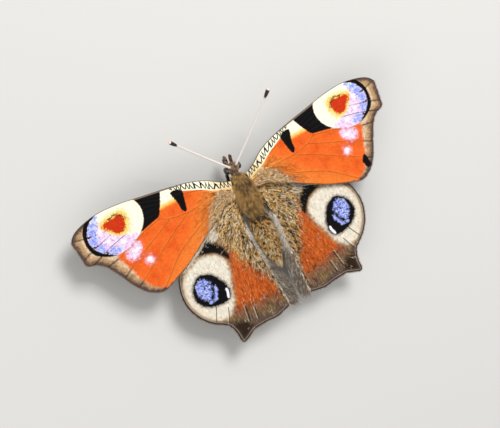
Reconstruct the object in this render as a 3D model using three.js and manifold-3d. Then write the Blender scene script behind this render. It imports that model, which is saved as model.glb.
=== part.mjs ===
// Peacock butterfly (Aglais io), life size, basking with all four wings spread flat.
// Millimetres. +Z is up and the floor is z = 0; the head points to -Y, and the animal's left is +X.
// Wing outlines and veins are drawn as (out, back): out from the body's midline, back from the wing root.
import * as THREE from 'three';
import { mergeVertices } from 'three/addons/utils/BufferGeometryUtils.js';
import Module from 'manifold-3d';

const wasm = await Module();
wasm.setup();

// Driving dimensions
const gap = 0.3;              // left open between two pieces that touch on the real animal
const wingLevel = 6.2;        // height of the forewings' middle layer at the root
const hindDrop = 1.1;         // how far the hindwings lie below the forewings
const wingThick = 0.5;        // wing membrane
const veinRise = 0.16;        // veins above the upper membrane
const veinSink = 0.07;        // veins below the lower membrane
const veinHalf = 0.2;         // half width of a vein's foot
const stemHalf = 0.27;        // the same on the two strong stems at the root
const foreDroop = 0.021;      // the forewings' slope down towards the tip
const hindDroop = 0.012;
const foreArch = 0.22;        // the forewings' rise half way out
const foldAngle = 1.3;        // how steeply the hindwing's inner strip is folded down, radians
const foldRadius = 0.6;
const foreSweepLeft = -0.0102; // the left forewing lies a little forward of the right one, radians
const hindSweepLeft = 0.0105;

const thorax = {
  front: 0.05, back: 7.75, width: 4.7, height: 4.4, level: 5.5, bluntness: 0.38, endRing: 0.42,
};
const head = {
  x: 1.2, y: 0.95, z: 1.05, centre: new THREE.Vector3(0, -1.2, 5.15), neckEnd: -0.26, neckRadius: 0.6,
};
const eye = { x: 0.46, y: 0.68, z: 0.78, centre: new THREE.Vector3(1.2, -1.3, 5.2) };
const abdomen = {
  front: 8.08, back: 18.2, rings: 8, levelFront: 5.05, levelBack: 4.4, step: 0.09, broad: 0.95, high: 0.95,
};
const antenna = { shaft: 0.25, club: 0.5, clubShare: 0.13 };
const limb = { coxa: 0.44, femur: 0.34, tibia: 0.27, tarsus: 0.27, foreleg: 0.3 };
const soleLevel = 0.19;       // height of the tarsus's middle line, which leaves a flat sole on the floor

// Colours of the plain solids
const paints = {
  fur: [0x8a5a2b, 0.95], dark: [0x2a1c12, 0.8], eye: [0x3a2418, 0.35], feeler: [0xcfc4b4, 0.7],
  leg: [0x6b4a2c, 0.85], red: [0xd4501c, 0.8], tongue: [0x33231a, 0.6],
};
function paint(key) {
  const [color, roughness] = paints[key];
  return new THREE.MeshStandardMaterial({ color, roughness, metalness: 0 });
}

const model = new THREE.Group();
function addPiece(name, geometry, colour) {
  const mesh = new THREE.Mesh(geometry, paint(colour));
  mesh.name = name;
  model.add(mesh);
}

// Closed bodies from points and triangles, turned so that their faces point outward
function closedBody(points, triangles) {
  let volume = 0;
  for (const [a, b, c] of triangles) {
    volume += points[a].dot(new THREE.Vector3().crossVectors(points[b], points[c]));
  }
  const faces = volume < 0 ? triangles.map(([a, b, c]) => [a, c, b]) : triangles;
  const geometry = new THREE.BufferGeometry();
  const places = points.flatMap((p) => [p.x, p.y, p.z]);
  geometry.setAttribute('position', new THREE.Float32BufferAttribute(places, 3));
  geometry.setIndex(faces.flat());
  geometry.computeVertexNormals();
  return geometry;
}

// A skin over rings of equally many points, closed at both ends by a fan round the end ring's middle
function skinOverRings(rings) {
  const sides = rings[0].length;
  const points = rings.flat();
  const triangles = [];
  for (let i = 0; i + 1 < rings.length; i += 1) {
    for (let j = 0; j < sides; j += 1) {
      const a = i * sides + j;
      const b = i * sides + (j + 1) % sides;
      triangles.push([a, b, b + sides], [a, b + sides, a + sides]);
    }
  }
  for (const [start, flip] of [[0, true], [(rings.length - 1) * sides, false]]) {
    const middle = new THREE.Vector3();
    for (let j = 0; j < sides; j += 1) middle.addScaledVector(points[start + j], 1 / sides);
    const centre = points.push(middle) - 1;
    for (let j = 0; j < sides; j += 1) {
      const a = start + j;
      const b = start + (j + 1) % sides;
      triangles.push(flip ? [centre, b, a] : [centre, a, b]);
    }
  }
  return closedBody(points, triangles);
}

// A round limb along a curve. radiusAt gives its radius at a share of the length. start and end are planes
// that its ends are cut to, and nothing of it goes below floor.
function limbAlong(curve, radiusAt, { sides = 8, steps = 8, floor = -Infinity, start, end } = {}) {
  const rings = [];
  const across = new THREE.Vector3();
  let above = new THREE.Vector3(0, 0, 1);
  for (let i = 0; i <= steps; i += 1) {
    const share = i / steps;
    const along = curve.getTangentAt(share);
    if (i === 0 && Math.abs(along.z) > 0.9) above = new THREE.Vector3(1, 0, 0);
    across.crossVectors(along, above).normalize();
    above = new THREE.Vector3().crossVectors(across, along).normalize();
    const middle = curve.getPointAt(share);
    const cut = (i === 0 && start) || (i === steps && end);
    rings.push(Array.from({ length: sides }, (_, j) => {
      const angle = (j + 0.5) / sides * 2 * Math.PI;
      const point = middle.clone()
        .addScaledVector(across, Math.cos(angle) * radiusAt(share))
        .addScaledVector(above, Math.sin(angle) * radiusAt(share));
      if (cut) {
        const reach = cut.point.clone().sub(point).dot(cut.normal) / along.dot(cut.normal);
        point.addScaledVector(along, reach);
      }
      point.z = Math.max(point.z, floor);
      return point;
    }));
  }
  return skinOverRings(rings);
}
const facing = (point, normal, shift) => ({ point: point.clone().addScaledVector(normal, shift), normal });

// Left-hand geometry turned into the right-hand one
function mirrored(geometry) {
  const points = [];
  const position = geometry.getAttribute('position');
  for (let i = 0; i < position.count; i += 1) {
    points.push(new THREE.Vector3(-position.getX(i), position.getY(i), position.getZ(i)));
  }
  const index = Array.from(geometry.getIndex().array);
  const triangles = [];
  for (let i = 0; i < index.length; i += 3) triangles.push([index[i], index[i + 1], index[i + 2]]);
  return closedBody(points, triangles);
}
function addPair(name, geometry, colour) {
  addPiece(`${name}_left`, geometry, colour);
  addPiece(`${name}_right`, mirrored(geometry), colour);
}

// Joining and cutting
function toSolid(geometry) {
  const bare = geometry.clone();
  bare.deleteAttribute('normal');
  bare.deleteAttribute('uv');
  const merged = mergeVertices(bare, 1e-5);
  return new wasm.Manifold(new wasm.Mesh({
    numProp: 3,
    vertProperties: new Float32Array(merged.getAttribute('position').array),
    triVerts: new Uint32Array(merged.getIndex().array),
  }));
}
function fromSolid(solid) {
  const largest = solid.decompose().sort((a, b) => b.volume() - a.volume())[0];
  const mesh = largest.getMesh();
  const points = [];
  for (let i = 0; i < mesh.vertProperties.length; i += mesh.numProp) {
    points.push(new THREE.Vector3(...mesh.vertProperties.slice(i, i + 3)));
  }
  const triangles = [];
  for (let i = 0; i < mesh.triVerts.length; i += 3) triangles.push(Array.from(mesh.triVerts.slice(i, i + 3)));
  return closedBody(points, triangles);
}
function ellipsoid(centre, x, y, z, around = 24, rows = 16) {
  const ball = new THREE.SphereGeometry(1, around, rows);
  ball.scale(x, y, z);
  ball.translate(centre.x, centre.y, centre.z);
  return ball;
}
const sideways = (point, side) => new THREE.Vector3(point.x * side, point.y, point.z);

// Thorax: a blunt barrel whose half width at (y, z) also places the wing roots
function thoraxGirth(y) {
  const share = THREE.MathUtils.clamp((y - thorax.front) / (thorax.back - thorax.front), 0, 1);
  return Math.max(Math.sin(Math.PI * share) ** thorax.bluntness, thorax.endRing);
}
function thoraxSide(y, z) {
  const lift = (z - thorax.level) / (thorax.height / 2 * thoraxGirth(y));
  return thorax.width / 2 * thoraxGirth(y) * Math.sqrt(Math.max(1 - lift * lift, 0));
}
function thoraxUnder(x, y) {
  const reach = x / (thorax.width / 2 * thoraxGirth(y));
  return thorax.level - thorax.height / 2 * thoraxGirth(y) * Math.sqrt(Math.max(1 - reach * reach, 0));
}
function thoraxNormal(x, y, z) {
  const across = (thorax.width / 2 * thoraxGirth(y)) ** 2;
  const upright = (thorax.height / 2 * thoraxGirth(y)) ** 2;
  const taper = (thoraxGirth(y + 0.01) - thoraxGirth(y - 0.01)) / 0.02 / thoraxGirth(y);
  return new THREE.Vector3(x / across, -taper, (z - thorax.level) / upright).normalize();
}
// How far out a wing's root edge starts at a given back and level
function wingRoot(back, level) {
  const side = thoraxSide(back, level);
  return side + gap / thoraxNormal(side, back, level).x;
}
// Grooves that mark off the collar and the scutellum, and one along the back; none stands out past the barrel
function thoraxGroove(y, angle) {
  const dip = (at, width) => Math.exp(-(((y - at) / width) ** 2));
  const onBack = Math.max(Math.sin(angle), 0);
  return 1 - 0.07 * dip(0.95, 0.3) - 0.06 * onBack * dip(6.1, 0.3) - 0.03 * onBack ** 24 * dip(3.4, 2.2);
}
function thoraxGeometry() {
  const rings = [];
  const steps = 22;
  const sides = 24;
  for (let i = 0; i <= steps; i += 1) {
    const share = (1 - Math.cos(Math.PI * i / steps)) / 2;
    const y = THREE.MathUtils.lerp(thorax.front, thorax.back, share);
    rings.push(Array.from({ length: sides }, (_, j) => {
      const angle = j / sides * 2 * Math.PI;
      const girth = thoraxGirth(y) * thoraxGroove(y, angle) / 2;
      return new THREE.Vector3(
        thorax.width * girth * Math.cos(angle), y, thorax.level + thorax.height * girth * Math.sin(angle));
    }));
  }
  return skinOverRings(rings);
}
// The tegulae are scale-clad lobes over the forewing roots
const tegula = { x: 0.95, y: 1.25, z: 0.36, centre: new THREE.Vector3(1.35, 1.75, wingLevel + 1.0) };
let thoraxSolid = toSolid(thoraxGeometry());
for (const side of [1, -1]) {
  const lobe = ellipsoid(sideways(tegula.centre, side), tegula.x, tegula.y, tegula.z, 16, 10);
  thoraxSolid = thoraxSolid.add(toSolid(lobe));
}
addPiece('thorax', fromSolid(thoraxSolid), 'fur');

// Head: a rounded body with a bulging brow, a short neck, a hollow for each eye, and a flat-ended
// stub that each antenna, each palp and the tongue grow from
const antennaRoot = new THREE.Vector3(0.5, -1.6, 6.12);
const antennaTip = new THREE.Vector3(9.7, -11.2, 13.4);
const antennaWay = antennaTip.clone().sub(antennaRoot).normalize();
const palpRoot = new THREE.Vector3(0.56, -2.14, 4.5);
const palpWay = new THREE.Vector3(0.08, -0.97, 0.22).normalize();
const tongueRoot = new THREE.Vector3(0, -1.75, 4.15);
const tongueWay = new THREE.Vector3(0, -0.25, -1).normalize();
const tongue = { radius: 0.2, inner: 0.26, pitch: 0.47, turns: 1.5, drop: 0.4 };
const palpRadius = 0.31;
function stub(tip, way, radius, depth) {
  const post = new THREE.CylinderGeometry(radius, radius * 1.15, depth, 14);
  post.applyQuaternion(new THREE.Quaternion().setFromUnitVectors(new THREE.Vector3(0, 1, 0), way));
  post.translate(...tip.clone().addScaledVector(way, -depth / 2));
  return toSolid(post);
}
const brow = new THREE.Vector3(0, head.centre.y - 0.62, head.centre.z + 0.05);
const neckTip = new THREE.Vector3(0, head.neckEnd, head.centre.z);
let headSolid = toSolid(ellipsoid(head.centre, head.x, head.y, head.z, 28, 20))
  .add(toSolid(ellipsoid(brow, 0.5, 0.5, 0.78, 18, 12)))
  .add(stub(neckTip, new THREE.Vector3(0, 1, 0), head.neckRadius, 0.7))
  .add(stub(tongueRoot, tongueWay, tongue.radius * 1.4, 0.5));
for (const side of [1, -1]) {
  const socket = ellipsoid(sideways(eye.centre, side), eye.x + gap, eye.y + gap, eye.z + gap, 24, 16);
  headSolid = headSolid
    .add(stub(sideways(antennaRoot, side), sideways(antennaWay, side), antenna.shaft * 1.35, 0.45))
    .add(stub(sideways(palpRoot, side), sideways(palpWay, side), palpRadius, 0.6))
    .subtract(toSolid(socket));
}
addPiece('head', fromSolid(headSolid), 'dark');
for (const [name, side] of [['eye_left', 1], ['eye_right', -1]]) {
  const globe = ellipsoid(sideways(eye.centre, side), eye.x, eye.y, eye.z, 18, 12);
  addPiece(name, fromSolid(toSolid(globe)), 'eye');
}

// Antennae: raised forward and outward, thin shafts that end in a club
const antennaStart = antennaRoot.clone().addScaledVector(antennaWay, gap);
const antennaMiddle = antennaStart.clone().lerp(antennaTip, 0.5).add(new THREE.Vector3(0.1, 0.15, 0.35));
const antennaCurve = new THREE.QuadraticBezierCurve3(antennaStart, antennaMiddle, antennaTip);
function antennaRadius(share) {
  const intoClub = THREE.MathUtils.clamp((share - 1 + antenna.clubShare) / antenna.clubShare, 0, 1);
  const grown = Math.sin(Math.min(intoClub * 1.25, 1) * Math.PI / 2);
  const swell = THREE.MathUtils.lerp(antenna.shaft, antenna.club, grown);
  return intoClub > 0.8 ? swell * Math.sqrt(1.03 - ((intoClub - 0.8) / 0.2) ** 2) : swell;
}
addPair('antenna', limbAlong(
  antennaCurve, antennaRadius, { steps: 42, start: facing(antennaRoot, antennaWay, gap) }), 'feeler');

// Palps curve up in front of the face, and the tongue is coiled between them
const palpStart = palpRoot.clone().addScaledVector(palpWay, gap);
const palpCurve = new THREE.CatmullRomCurve3([
  palpStart, palpStart.clone().add(new THREE.Vector3(0.05, -0.5, 0.12)), new THREE.Vector3(0.6, -3.28, 5.1),
  new THREE.Vector3(0.4, -3.58, 5.8),
]);
function palpTaper(share) {
  const swell = 1 + 0.25 * Math.sin(Math.PI * share) - 0.4 * share ** 2;
  return palpRadius * swell * Math.sqrt(1.06 - share ** 6);
}
addPair('palp', limbAlong(palpCurve, palpTaper, { steps: 9, start: facing(palpRoot, palpWay, gap) }), 'dark');

const coilReach = tongue.inner + tongue.pitch * tongue.turns;
const coilCentre = tongueRoot.clone().addScaledVector(tongueWay, gap)
  .add(new THREE.Vector3(0, -coilReach, -tongue.drop));
const coilPoints = Array.from({ length: 19 }, (_, i) => {
  const turn = tongue.turns * i / 18;
  const reach = tongue.inner + tongue.pitch * turn;
  const angle = 2 * Math.PI * (turn - tongue.turns);
  return coilCentre.clone().add(new THREE.Vector3(0, Math.cos(angle) * reach, Math.sin(angle) * reach));
});
coilPoints.push(tongueRoot.clone().addScaledVector(tongueWay, gap));
addPiece('proboscis', limbAlong(new THREE.CatmullRomCurve3(coilPoints), () => tongue.radius,
  { sides: 6, steps: 40, end: facing(tongueRoot, tongueWay.clone().negate(), -gap) }), 'tongue');

// Abdomen: overlapping rings that taper to the tip
const abdomenGirth = new THREE.SplineCurve([
  [0, 1.2], [0.1, 1.55], [0.3, 1.76], [0.5, 1.78], [0.7, 1.52], [0.88, 0.98], [1, 0.42],
].map(([share, radius]) => new THREE.Vector2(share, radius)));
function abdomenGeometry() {
  const rings = [];
  for (let ring = 0; ring < abdomen.rings; ring += 1) {
    for (const within of [0, 0.45, 0.86, 0.96]) {
      const share = (ring + within) / abdomen.rings;
      const sample = abdomenGirth.getPoint(share);
      const radius = sample.y + abdomen.step * (within < 0.9 ? within : 0) * (1 - share * 0.5);
      const y = THREE.MathUtils.lerp(abdomen.front, abdomen.back, share);
      const level = THREE.MathUtils.lerp(abdomen.levelFront, abdomen.levelBack, share);
      rings.push(Array.from({ length: 18 }, (_, j) => {
        const angle = j / 18 * 2 * Math.PI;
        return new THREE.Vector3(
          abdomen.broad * radius * Math.cos(angle), y, level + abdomen.high * radius * Math.sin(angle));
      }));
    }
  }
  return skinOverRings(rings);
}
addPiece('abdomen', abdomenGeometry(), 'fur');

// Legs: coxa, femur, tibia and tarsus in line, cut at each joint to the plane half way between their ways
function thoraxHip(x, y) {
  const under = thoraxUnder(x, y);
  const normal = thoraxNormal(x, y, under);
  return { normal, point: new THREE.Vector3(x, y, under).addScaledVector(normal, gap) };
}
function addLeg(name, hipPlace, trochanter, knee, ankle, toe) {
  const hip = thoraxHip(...hipPlace);
  const joints = [hip.point, trochanter, knee, ankle];
  const level = new THREE.Vector3(toe.x - ankle.x, toe.y - ankle.y, 0);
  const onFloor = (share) => ankle.clone().addScaledVector(level, share).setZ(soleLevel);
  const foot = new THREE.CatmullRomCurve3([ankle, onFloor(0.26), onFloor(0.6), onFloor(1)]);
  const ways = [0, 1, 2].map((i) => joints[i + 1].clone().sub(joints[i]).normalize());
  ways.push(foot.getTangentAt(0));
  const normals = [hip.normal, ...[1, 2, 3].map((i) => ways[i - 1].clone().add(ways[i]).normalize())];
  const sizes = [limb.coxa, limb.femur, limb.tibia, limb.tarsus];
  ['coxa', 'femur', 'tibia'].forEach((part, i) => {
    const swell = (share) => {
      const bulge = 1 + 0.14 * Math.sin(Math.PI * share);
      return THREE.MathUtils.lerp(sizes[i], sizes[i + 1], share) * bulge;
    };
    addPair(`${name}_${part}`, limbAlong(new THREE.LineCurve3(joints[i], joints[i + 1]), swell, {
      steps: i === 0 ? 3 : 6,
      start: facing(joints[i], normals[i], i === 0 ? 0 : gap / 2),
      end: facing(joints[i + 1], normals[i + 1], -gap / 2),
    }), 'leg');
  });
  const beads = (share) => {
    const joint = 1 + 0.08 * Math.cos(10 * Math.PI * share);
    return limb.tarsus * joint * (share > 0.97 ? 0.7 : 1);
  };
  addPair(`${name}_tarsus`, limbAlong(
    foot, beads, { sides: 10, steps: 20, floor: 0, start: facing(ankle, normals[3], gap / 2) }), 'leg');
}
addLeg('mid_leg', [0.95, 3.1], new THREE.Vector3(1.7, 2.85, 2.3), new THREE.Vector3(5.1, 1.4, 3.5),
  new THREE.Vector3(7.0, 0.6, 0.8), new THREE.Vector3(10.3, -0.8, 0));
addLeg('hind_leg', [0.95, 5.3], new THREE.Vector3(1.65, 5.75, 2.3), new THREE.Vector3(4.3, 9.0, 3.2),
  new THREE.Vector3(5.6, 12.0, 0.8), new THREE.Vector3(7.1, 15.6, 0));
const brushHip = thoraxHip(0.8, 1.4);
const brushCurve = new THREE.CatmullRomCurve3([
  brushHip.point, new THREE.Vector3(1.05, 0.75, 2.95), new THREE.Vector3(0.98, -0.1, 3.1),
  new THREE.Vector3(0.8, -0.8, 3.4),
]);
const brushTaper = (share) => limb.foreleg * Math.sqrt(1.1 - share ** 4);
const brushStart = facing(brushHip.point, brushHip.normal, 0);
addPair('foreleg', limbAlong(brushCurve, brushTaper, { start: brushStart }), 'leg');

// Wings
const curveThrough = (points) => new THREE.SplineCurve(points.map(([x, y]) => new THREE.Vector2(x, y)));
function sampled(points, perSpan) {
  const curve = curveThrough(points);
  const spans = points.length - 1;
  return Array.from({ length: spans * perSpan + 1 }, (_, i) => curve.getPoint(i / (spans * perSpan)));
}

// A flat net of corner points and links; margin links have no width, vein links stand on a foot of their
// half width
function veinNet(rootEdge, margin, veins) {
  const corners = [];
  const links = [];
  const find = (p, reach) => corners.findIndex((q) => q.distanceTo(p) < reach);
  const place = (p, reach = 0.03) => {
    const found = find(p, reach);
    return found >= 0 ? found : corners.push(p.clone()) - 1;
  };
  const join = (a, b, half) => {
    const linked = links.some((l) => (l.a === a && l.b === b) || (l.a === b && l.b === a));
    if (a !== b && !linked) links.push({ a, b, half });
  };
  const rim = [...rootEdge.map(([x, y]) => new THREE.Vector2(x, y)), ...sampled(margin, 2)];
  const rimIndex = rim.map((p) => place(p, 0.05));
  rimIndex.forEach((a, i) => join(a, rimIndex[(i + 1) % rimIndex.length], 0));
  const rimCount = corners.length;
  const nearestRim = (p) => {
    let best = 0;
    for (let i = 1; i < rimCount; i += 1) {
      if (corners[i].distanceTo(p) < corners[best].distanceTo(p)) best = i;
    }
    return best;
  };
  for (const { points, half, start, end, perSpan = 2 } of veins) {
    const path = sampled(points, perSpan).map((p) => place(p));
    if (start) path[0] = nearestRim(new THREE.Vector2(...points[0]));
    if (end) path[path.length - 1] = nearestRim(new THREE.Vector2(...points[points.length - 1]));
    for (let i = 0; i + 1 < path.length; i += 1) join(path[i], path[i + 1], half);
  }
  return { corners, links, rimCount };
}

// The net thickened into a flat triangle mesh: vein crests, vein feet and the membrane between them
function triangulateNet({ corners, links }) {
  const spokes = corners.map(() => []);
  for (const { a, b, half } of links) {
    spokes[a].push({ to: b, half });
    spokes[b].push({ to: a, half });
  }
  spokes.forEach((list, i) => {
    for (const spoke of list) {
      spoke.way = corners[spoke.to].clone().sub(corners[i]);
      spoke.length = spoke.way.length();
      spoke.way.divideScalar(spoke.length);
    }
    list.sort((p, q) => Math.atan2(p.way.y, p.way.x) - Math.atan2(q.way.y, q.way.x));
  });
  const points = corners.map((p) => p.clone());
  const raised = corners.map((_, i) => spokes[i].some((s) => s.half > 0));
  const feet = new Map();
  // The foot point in the wedge from spoke k round to the next one
  function footPoint(i, k) {
    const key = `${i}:${k}`;
    if (feet.has(key)) return feet.get(key);
    const first = spokes[i][k];
    const second = spokes[i][(k + 1) % spokes[i].length];
    let index = i;
    if (first.half > 0 || second.half > 0) {
      const n1 = new THREE.Vector2(-first.way.y, first.way.x);
      const n2 = new THREE.Vector2(second.way.y, -second.way.x);
      const spread = n1.x * n2.y - n1.y * n2.x;
      const offset = Math.abs(spread) < 0.2 && n1.dot(n2) > 0
        ? n1.clone().multiplyScalar(first.half).addScaledVector(n2, second.half).multiplyScalar(0.5)
        : new THREE.Vector2(
          (first.half * n2.y - second.half * n1.y) / spread,
          (n1.x * second.half - n2.x * first.half) / spread);
      const limit = 0.45 * Math.min(first.length, second.length);
      if (offset.length() > limit) offset.setLength(limit);
      index = points.push(corners[i].clone().add(offset)) - 1;
      raised.push(false);
    }
    feet.set(key, index);
    return index;
  }
  const spokeTo = (i, j) => spokes[i].findIndex((s) => s.to === j);
  const before = (i, k) => (k - 1 + spokes[i].length) % spokes[i].length;
  const triangles = [];
  const seen = new Set();
  for (const { a, b } of links) {
    for (const [from, to] of [[a, b], [b, a]]) {
      if (seen.has(`${from}>${to}`)) continue;
      const loop = [];
      let u = from;
      let v = to;
      while (!seen.has(`${u}>${v}`)) {
        seen.add(`${u}>${v}`);
        const back = spokeTo(v, u);
        const turn = before(v, back);
        loop.push({ u, v, turn });
        u = v;
        v = spokes[u][turn].to;
      }
      const area = loop.reduce((sum, { u: p, v: q }) => sum + corners[p].cross(corners[q]), 0);
      if (area <= 0) continue;
      const ring = loop.map(({ v: corner, turn }) => footPoint(corner, turn));
      loop.forEach((step, i) => {
        const half = spokes[step.u][spokeTo(step.u, step.v)].half;
        if (half === 0) return;
        const footEnd = ring[i];
        const footStart = ring[(i - 1 + ring.length) % ring.length];
        triangles.push([step.u, step.v, footEnd], [step.u, footEnd, footStart]);
      });
      triangles.push(...wellShaped(ring, points));
    }
  }
  return { points, raised, triangles: triangles.filter(([p, q, r]) => p !== q && q !== r && r !== p) };
}

// Triangles over one membrane cell, with diagonals turned until no triangle is needlessly thin
function wellShaped(ring, points) {
  const outline = ring.map((i) => points[i]);
  const cells = THREE.ShapeUtils.triangulateShape(outline, []).map((t) => t.map((k) => ring[k]));
  const area = ([a, b, c]) => (points[b].x - points[a].x) * (points[c].y - points[a].y)
    - (points[b].y - points[a].y) * (points[c].x - points[a].x);
  const faces = cells.map((t) => (area(t) < 0 ? [t[0], t[2], t[1]] : t));
  const angleAt = (p, a, b) => {
    const u = points[a].clone().sub(points[p]);
    const v = points[b].clone().sub(points[p]);
    return Math.acos(THREE.MathUtils.clamp(u.dot(v) / (u.length() * v.length()), -1, 1));
  };
  let changed = true;
  for (let round = 0; changed && round < 60; round += 1) {
    changed = false;
    const owner = new Map();
    faces.forEach((t, f) => t.forEach((p, k) => owner.set(`${p}>${t[(k + 1) % 3]}`, f)));
    const touched = new Set();
    for (let f = 0; f < faces.length; f += 1) {
      for (let k = 0; k < 3; k += 1) {
        const [a, b, c] = [faces[f][k], faces[f][(k + 1) % 3], faces[f][(k + 2) % 3]];
        const g = owner.get(`${b}>${a}`);
        if (g === undefined || touched.has(f) || touched.has(g)) continue;
        const d = faces[g].find((p) => p !== a && p !== b);
        if (angleAt(c, a, b) + angleAt(d, a, b) <= Math.PI + 1e-6) continue;
        if (area([c, a, d]) <= 1e-6 || area([c, d, b]) <= 1e-6) continue;
        faces[f] = [c, a, d];
        faces[g] = [c, d, b];
        touched.add(f).add(g);
        changed = true;
      }
    }
  }
  return faces;
}

// Both faces of a wing share one net; lift(out, back, height) carries a point of it into the model
function wingGeometry(net, lift) {
  const { points, raised, triangles } = triangulateNet(net);
  const count = points.length;
  const nearMargin = (i) => i < net.rimCount;
  const solid = [];
  for (const [rise, sense] of [[veinRise, 1], [veinSink, -1]]) {
    points.forEach((p, i) => {
      const crest = raised[i] ? rise * (nearMargin(i) ? 0.5 : 1) : 0;
      solid.push(lift(p.x, p.y, sense * (wingThick / 2 + crest)));
    });
  }
  const directed = new Set(triangles.flatMap((t) => t.map((p, k) => `${p}>${t[(k + 1) % 3]}`)));
  const faces = [];
  for (const [a, b, c] of triangles) {
    faces.push([a, b, c], [a + count, c + count, b + count]);
    for (const [p, q] of [[a, b], [b, c], [c, a]]) {
      if (!directed.has(`${q}>${p}`)) faces.push([p, p + count, q + count], [p, q + count, q]);
    }
  }
  return closedBody(solid, faces);
}

// Forewing
const foreRootEdge = [3.05, 2.65, 2.05, 1.4, 0.8].map(
  (back) => [wingRoot(back, wingLevel - wingThick / 2), back]);
const foreMargin = [
  [2.15, 0.05], [3.4, -0.6], [5.6, -2.0], [8.5, -3.1], [12, -3.9], [16.5, -4.7], [20.5, -5.4], [24.3, -5.65],
  [27.4, -5.2], [29.6, -4.4], [30.7, -3.2], [30.6, -1.4], [30.4, 0.5], [30.2, 1.6], [29.4, 2.05], [28.4, 2.4],
  [27.3, 3.45], [26.4, 5.0], [25.6, 6.5], [24.9, 8.0], [24.2, 9.1], [23.2, 10.4], [21.7, 11.4], [20.6, 11.7],
  [19.4, 11.5], [17.0, 10.6], [14, 9.3], [11, 7.6], [8.4, 6.1], [5.6, 4.6], [3.8, 3.6],
];
const foreVeins = [
  { points: [[1.8, 0.75], [4, -0.3], [8, -2.2], [12, -3.25], [16.5, -4.7]], start: true, end: true },
  { points: [[1.9, 1.4], [4, 0.5], [6.5, -0.55], [9, -1.3], [11, -1.75], [13.4, -1.95], [15.0, -2.0]],
    half: stemHalf, start: true, perSpan: 1 },
  { points: [[11, -1.75], [12.6, -2.6], [15.8, -3.7], [20.5, -5.4]], end: true, perSpan: 1 },
  { points: [[13.4, -1.95], [15.0, -2.7], [18.4, -3.9], [22.4, -5.6]], end: true, perSpan: 1 },
  { points: [[15.0, -2.0], [18.5, -2.8], [20.0, -3.25], [21.5, -3.75], [23.6, -4.75], [25.9, -5.5]],
    end: true, perSpan: 1 },
  { points: [[21.5, -3.75], [25, -4.1], [28.5, -4.9]], end: true, perSpan: 1 },
  { points: [[15.0, -2.0], [15.6, -1.4], [15.8, -0.6], [15.5, 0.25]], perSpan: 1 },
  { points: [[18.5, -2.8], [21.0, -2.25], [26.0, -2.3], [30.7, -3.2]], end: true, perSpan: 1 },
  { points: [[15.6, -1.4], [20, -1.4], [24.4, -1.2], [30.4, 0.5]], end: true },
  { points: [[15.8, -0.6], [20, -0.45], [24.5, 0.45], [29.4, 2.05]], end: true },
  { points: [[15.5, 0.25], [19.5, 1.2], [23.3, 2.6], [27.3, 3.45]], end: true },
  { points: [[1.95, 2.0], [3.6, 1.75], [5.9, 1.5], [8.4, 1.6], [10.6, 1.65], [14.0, 1.15], [15.5, 0.25]],
    half: stemHalf, start: true, perSpan: 1 },
  { points: [[14.0, 1.15], [17.0, 2.5], [21.2, 4.3], [25.6, 6.5]], end: true },
  { points: [[10.6, 1.65], [14.2, 3.4], [18.4, 5.8], [24.2, 9.1]], end: true },
  { points: [[2.2, 2.6], [4.4, 2.75], [6.8, 3.5], [10.6, 5.0], [15.0, 7.1], [18.3, 9.7], [20.6, 11.7]],
    start: true, end: true },
];

// Hindwing: its inner strip beyond the fold line is bent down beside the abdomen
const hindLevel = wingLevel - hindDrop;
const hindRootEdge = [6.9, 6.3, 5.6, 4.9, 4.2, 3.6].map((back) => [wingRoot(back, hindLevel), back]);
const hindMargin = [
  [3.1, 3.35], [6, 3.4], [11, 5.0], [15, 7.9], [17.3, 10.2], [18.3, 12.2], [18.7, 14.2], [18.6, 16.2],
  [17.9, 18.3], [16.8, 20.0], [15.6, 21.2], [14.4, 22.0], [13.6, 22.8], [13.1, 24.4], [13.0, 26.1],
  [12.4, 26.6], [11.5, 26.3], [10.6, 25.9], [9.8, 25.55], [8.5, 25.5], [7.3, 25.5], [5.2, 25.7], [3.6, 25.4],
  [2.1, 25.0], [0.65, 24.7], [0.37, 22.8], [0.55, 20.4], [0.9, 18], [1.0, 15.5], [1.05, 12.5], [1.25, 10],
  [1.9, 8.2],
];
const foldLine = [[2.9, 6.2], [3.0, 9], [2.9, 12], [2.7, 15], [2.5, 18], [2.35, 21], [2.1, 25.0]];
const hindVeins = [
  { points: [[2.8, 4.2], [6, 4.7], [10.5, 6.7], [14.5, 9.6], [17.0, 12.4], [18.6, 16.2]],
    start: true, end: true },
  { points: [[2.8, 4.9], [5.6, 6.2], [6.9, 7.6], [10, 9.0], [12.4, 10.4], [15.2, 13.6], [17.9, 18.3]],
    start: true, end: true },
  { points: [[6.9, 7.6], [9.4, 10.6], [12.2, 14.2], [14.3, 18.4], [15.6, 21.2]], end: true },
  { points: [[6.9, 7.6], [7.7, 9.4], [8.0, 11.1], [7.4, 12.9]], perSpan: 1 },
  { points: [[8.0, 11.1], [10, 14.9], [12.1, 19.2], [13.6, 22.8]], end: true },
  { points: [[2.8, 5.5], [4.0, 7.4], [5.1, 9.3], [6.0, 11.0], [7.4, 12.9], [9.0, 17], [10.4, 20.8],
    [11.4, 23.6], [12.4, 26.6]], start: true, end: true, perSpan: 1 },
  { points: [[6.0, 11.0], [6.9, 14.5], [8.5, 21], [9.8, 25.55]], end: true, perSpan: 1 },
  { points: [[5.1, 9.3], [5.5, 13.5], [6.5, 19.5], [7.3, 25.5]], end: true, perSpan: 1 },
  { points: foldLine, half: stemHalf, start: true, end: true },
  { points: [[2.4, 6.6], [2.1, 9.4], [1.95, 12], [1.55, 15.4], [0.9, 18]], start: true, end: true },
];
for (const vein of [...foreVeins, ...hindVeins]) vein.half ??= veinHalf;
const foldCurve = curveThrough(foldLine);
function foldAt(back) {
  let low = 0;
  let high = 1;
  for (let i = 0; i < 24; i += 1) {
    const middle = (low + high) / 2;
    if (foldCurve.getPoint(middle).y < back) low = middle;
    else high = middle;
  }
  return foldCurve.getPoint(low).x;
}

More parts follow.
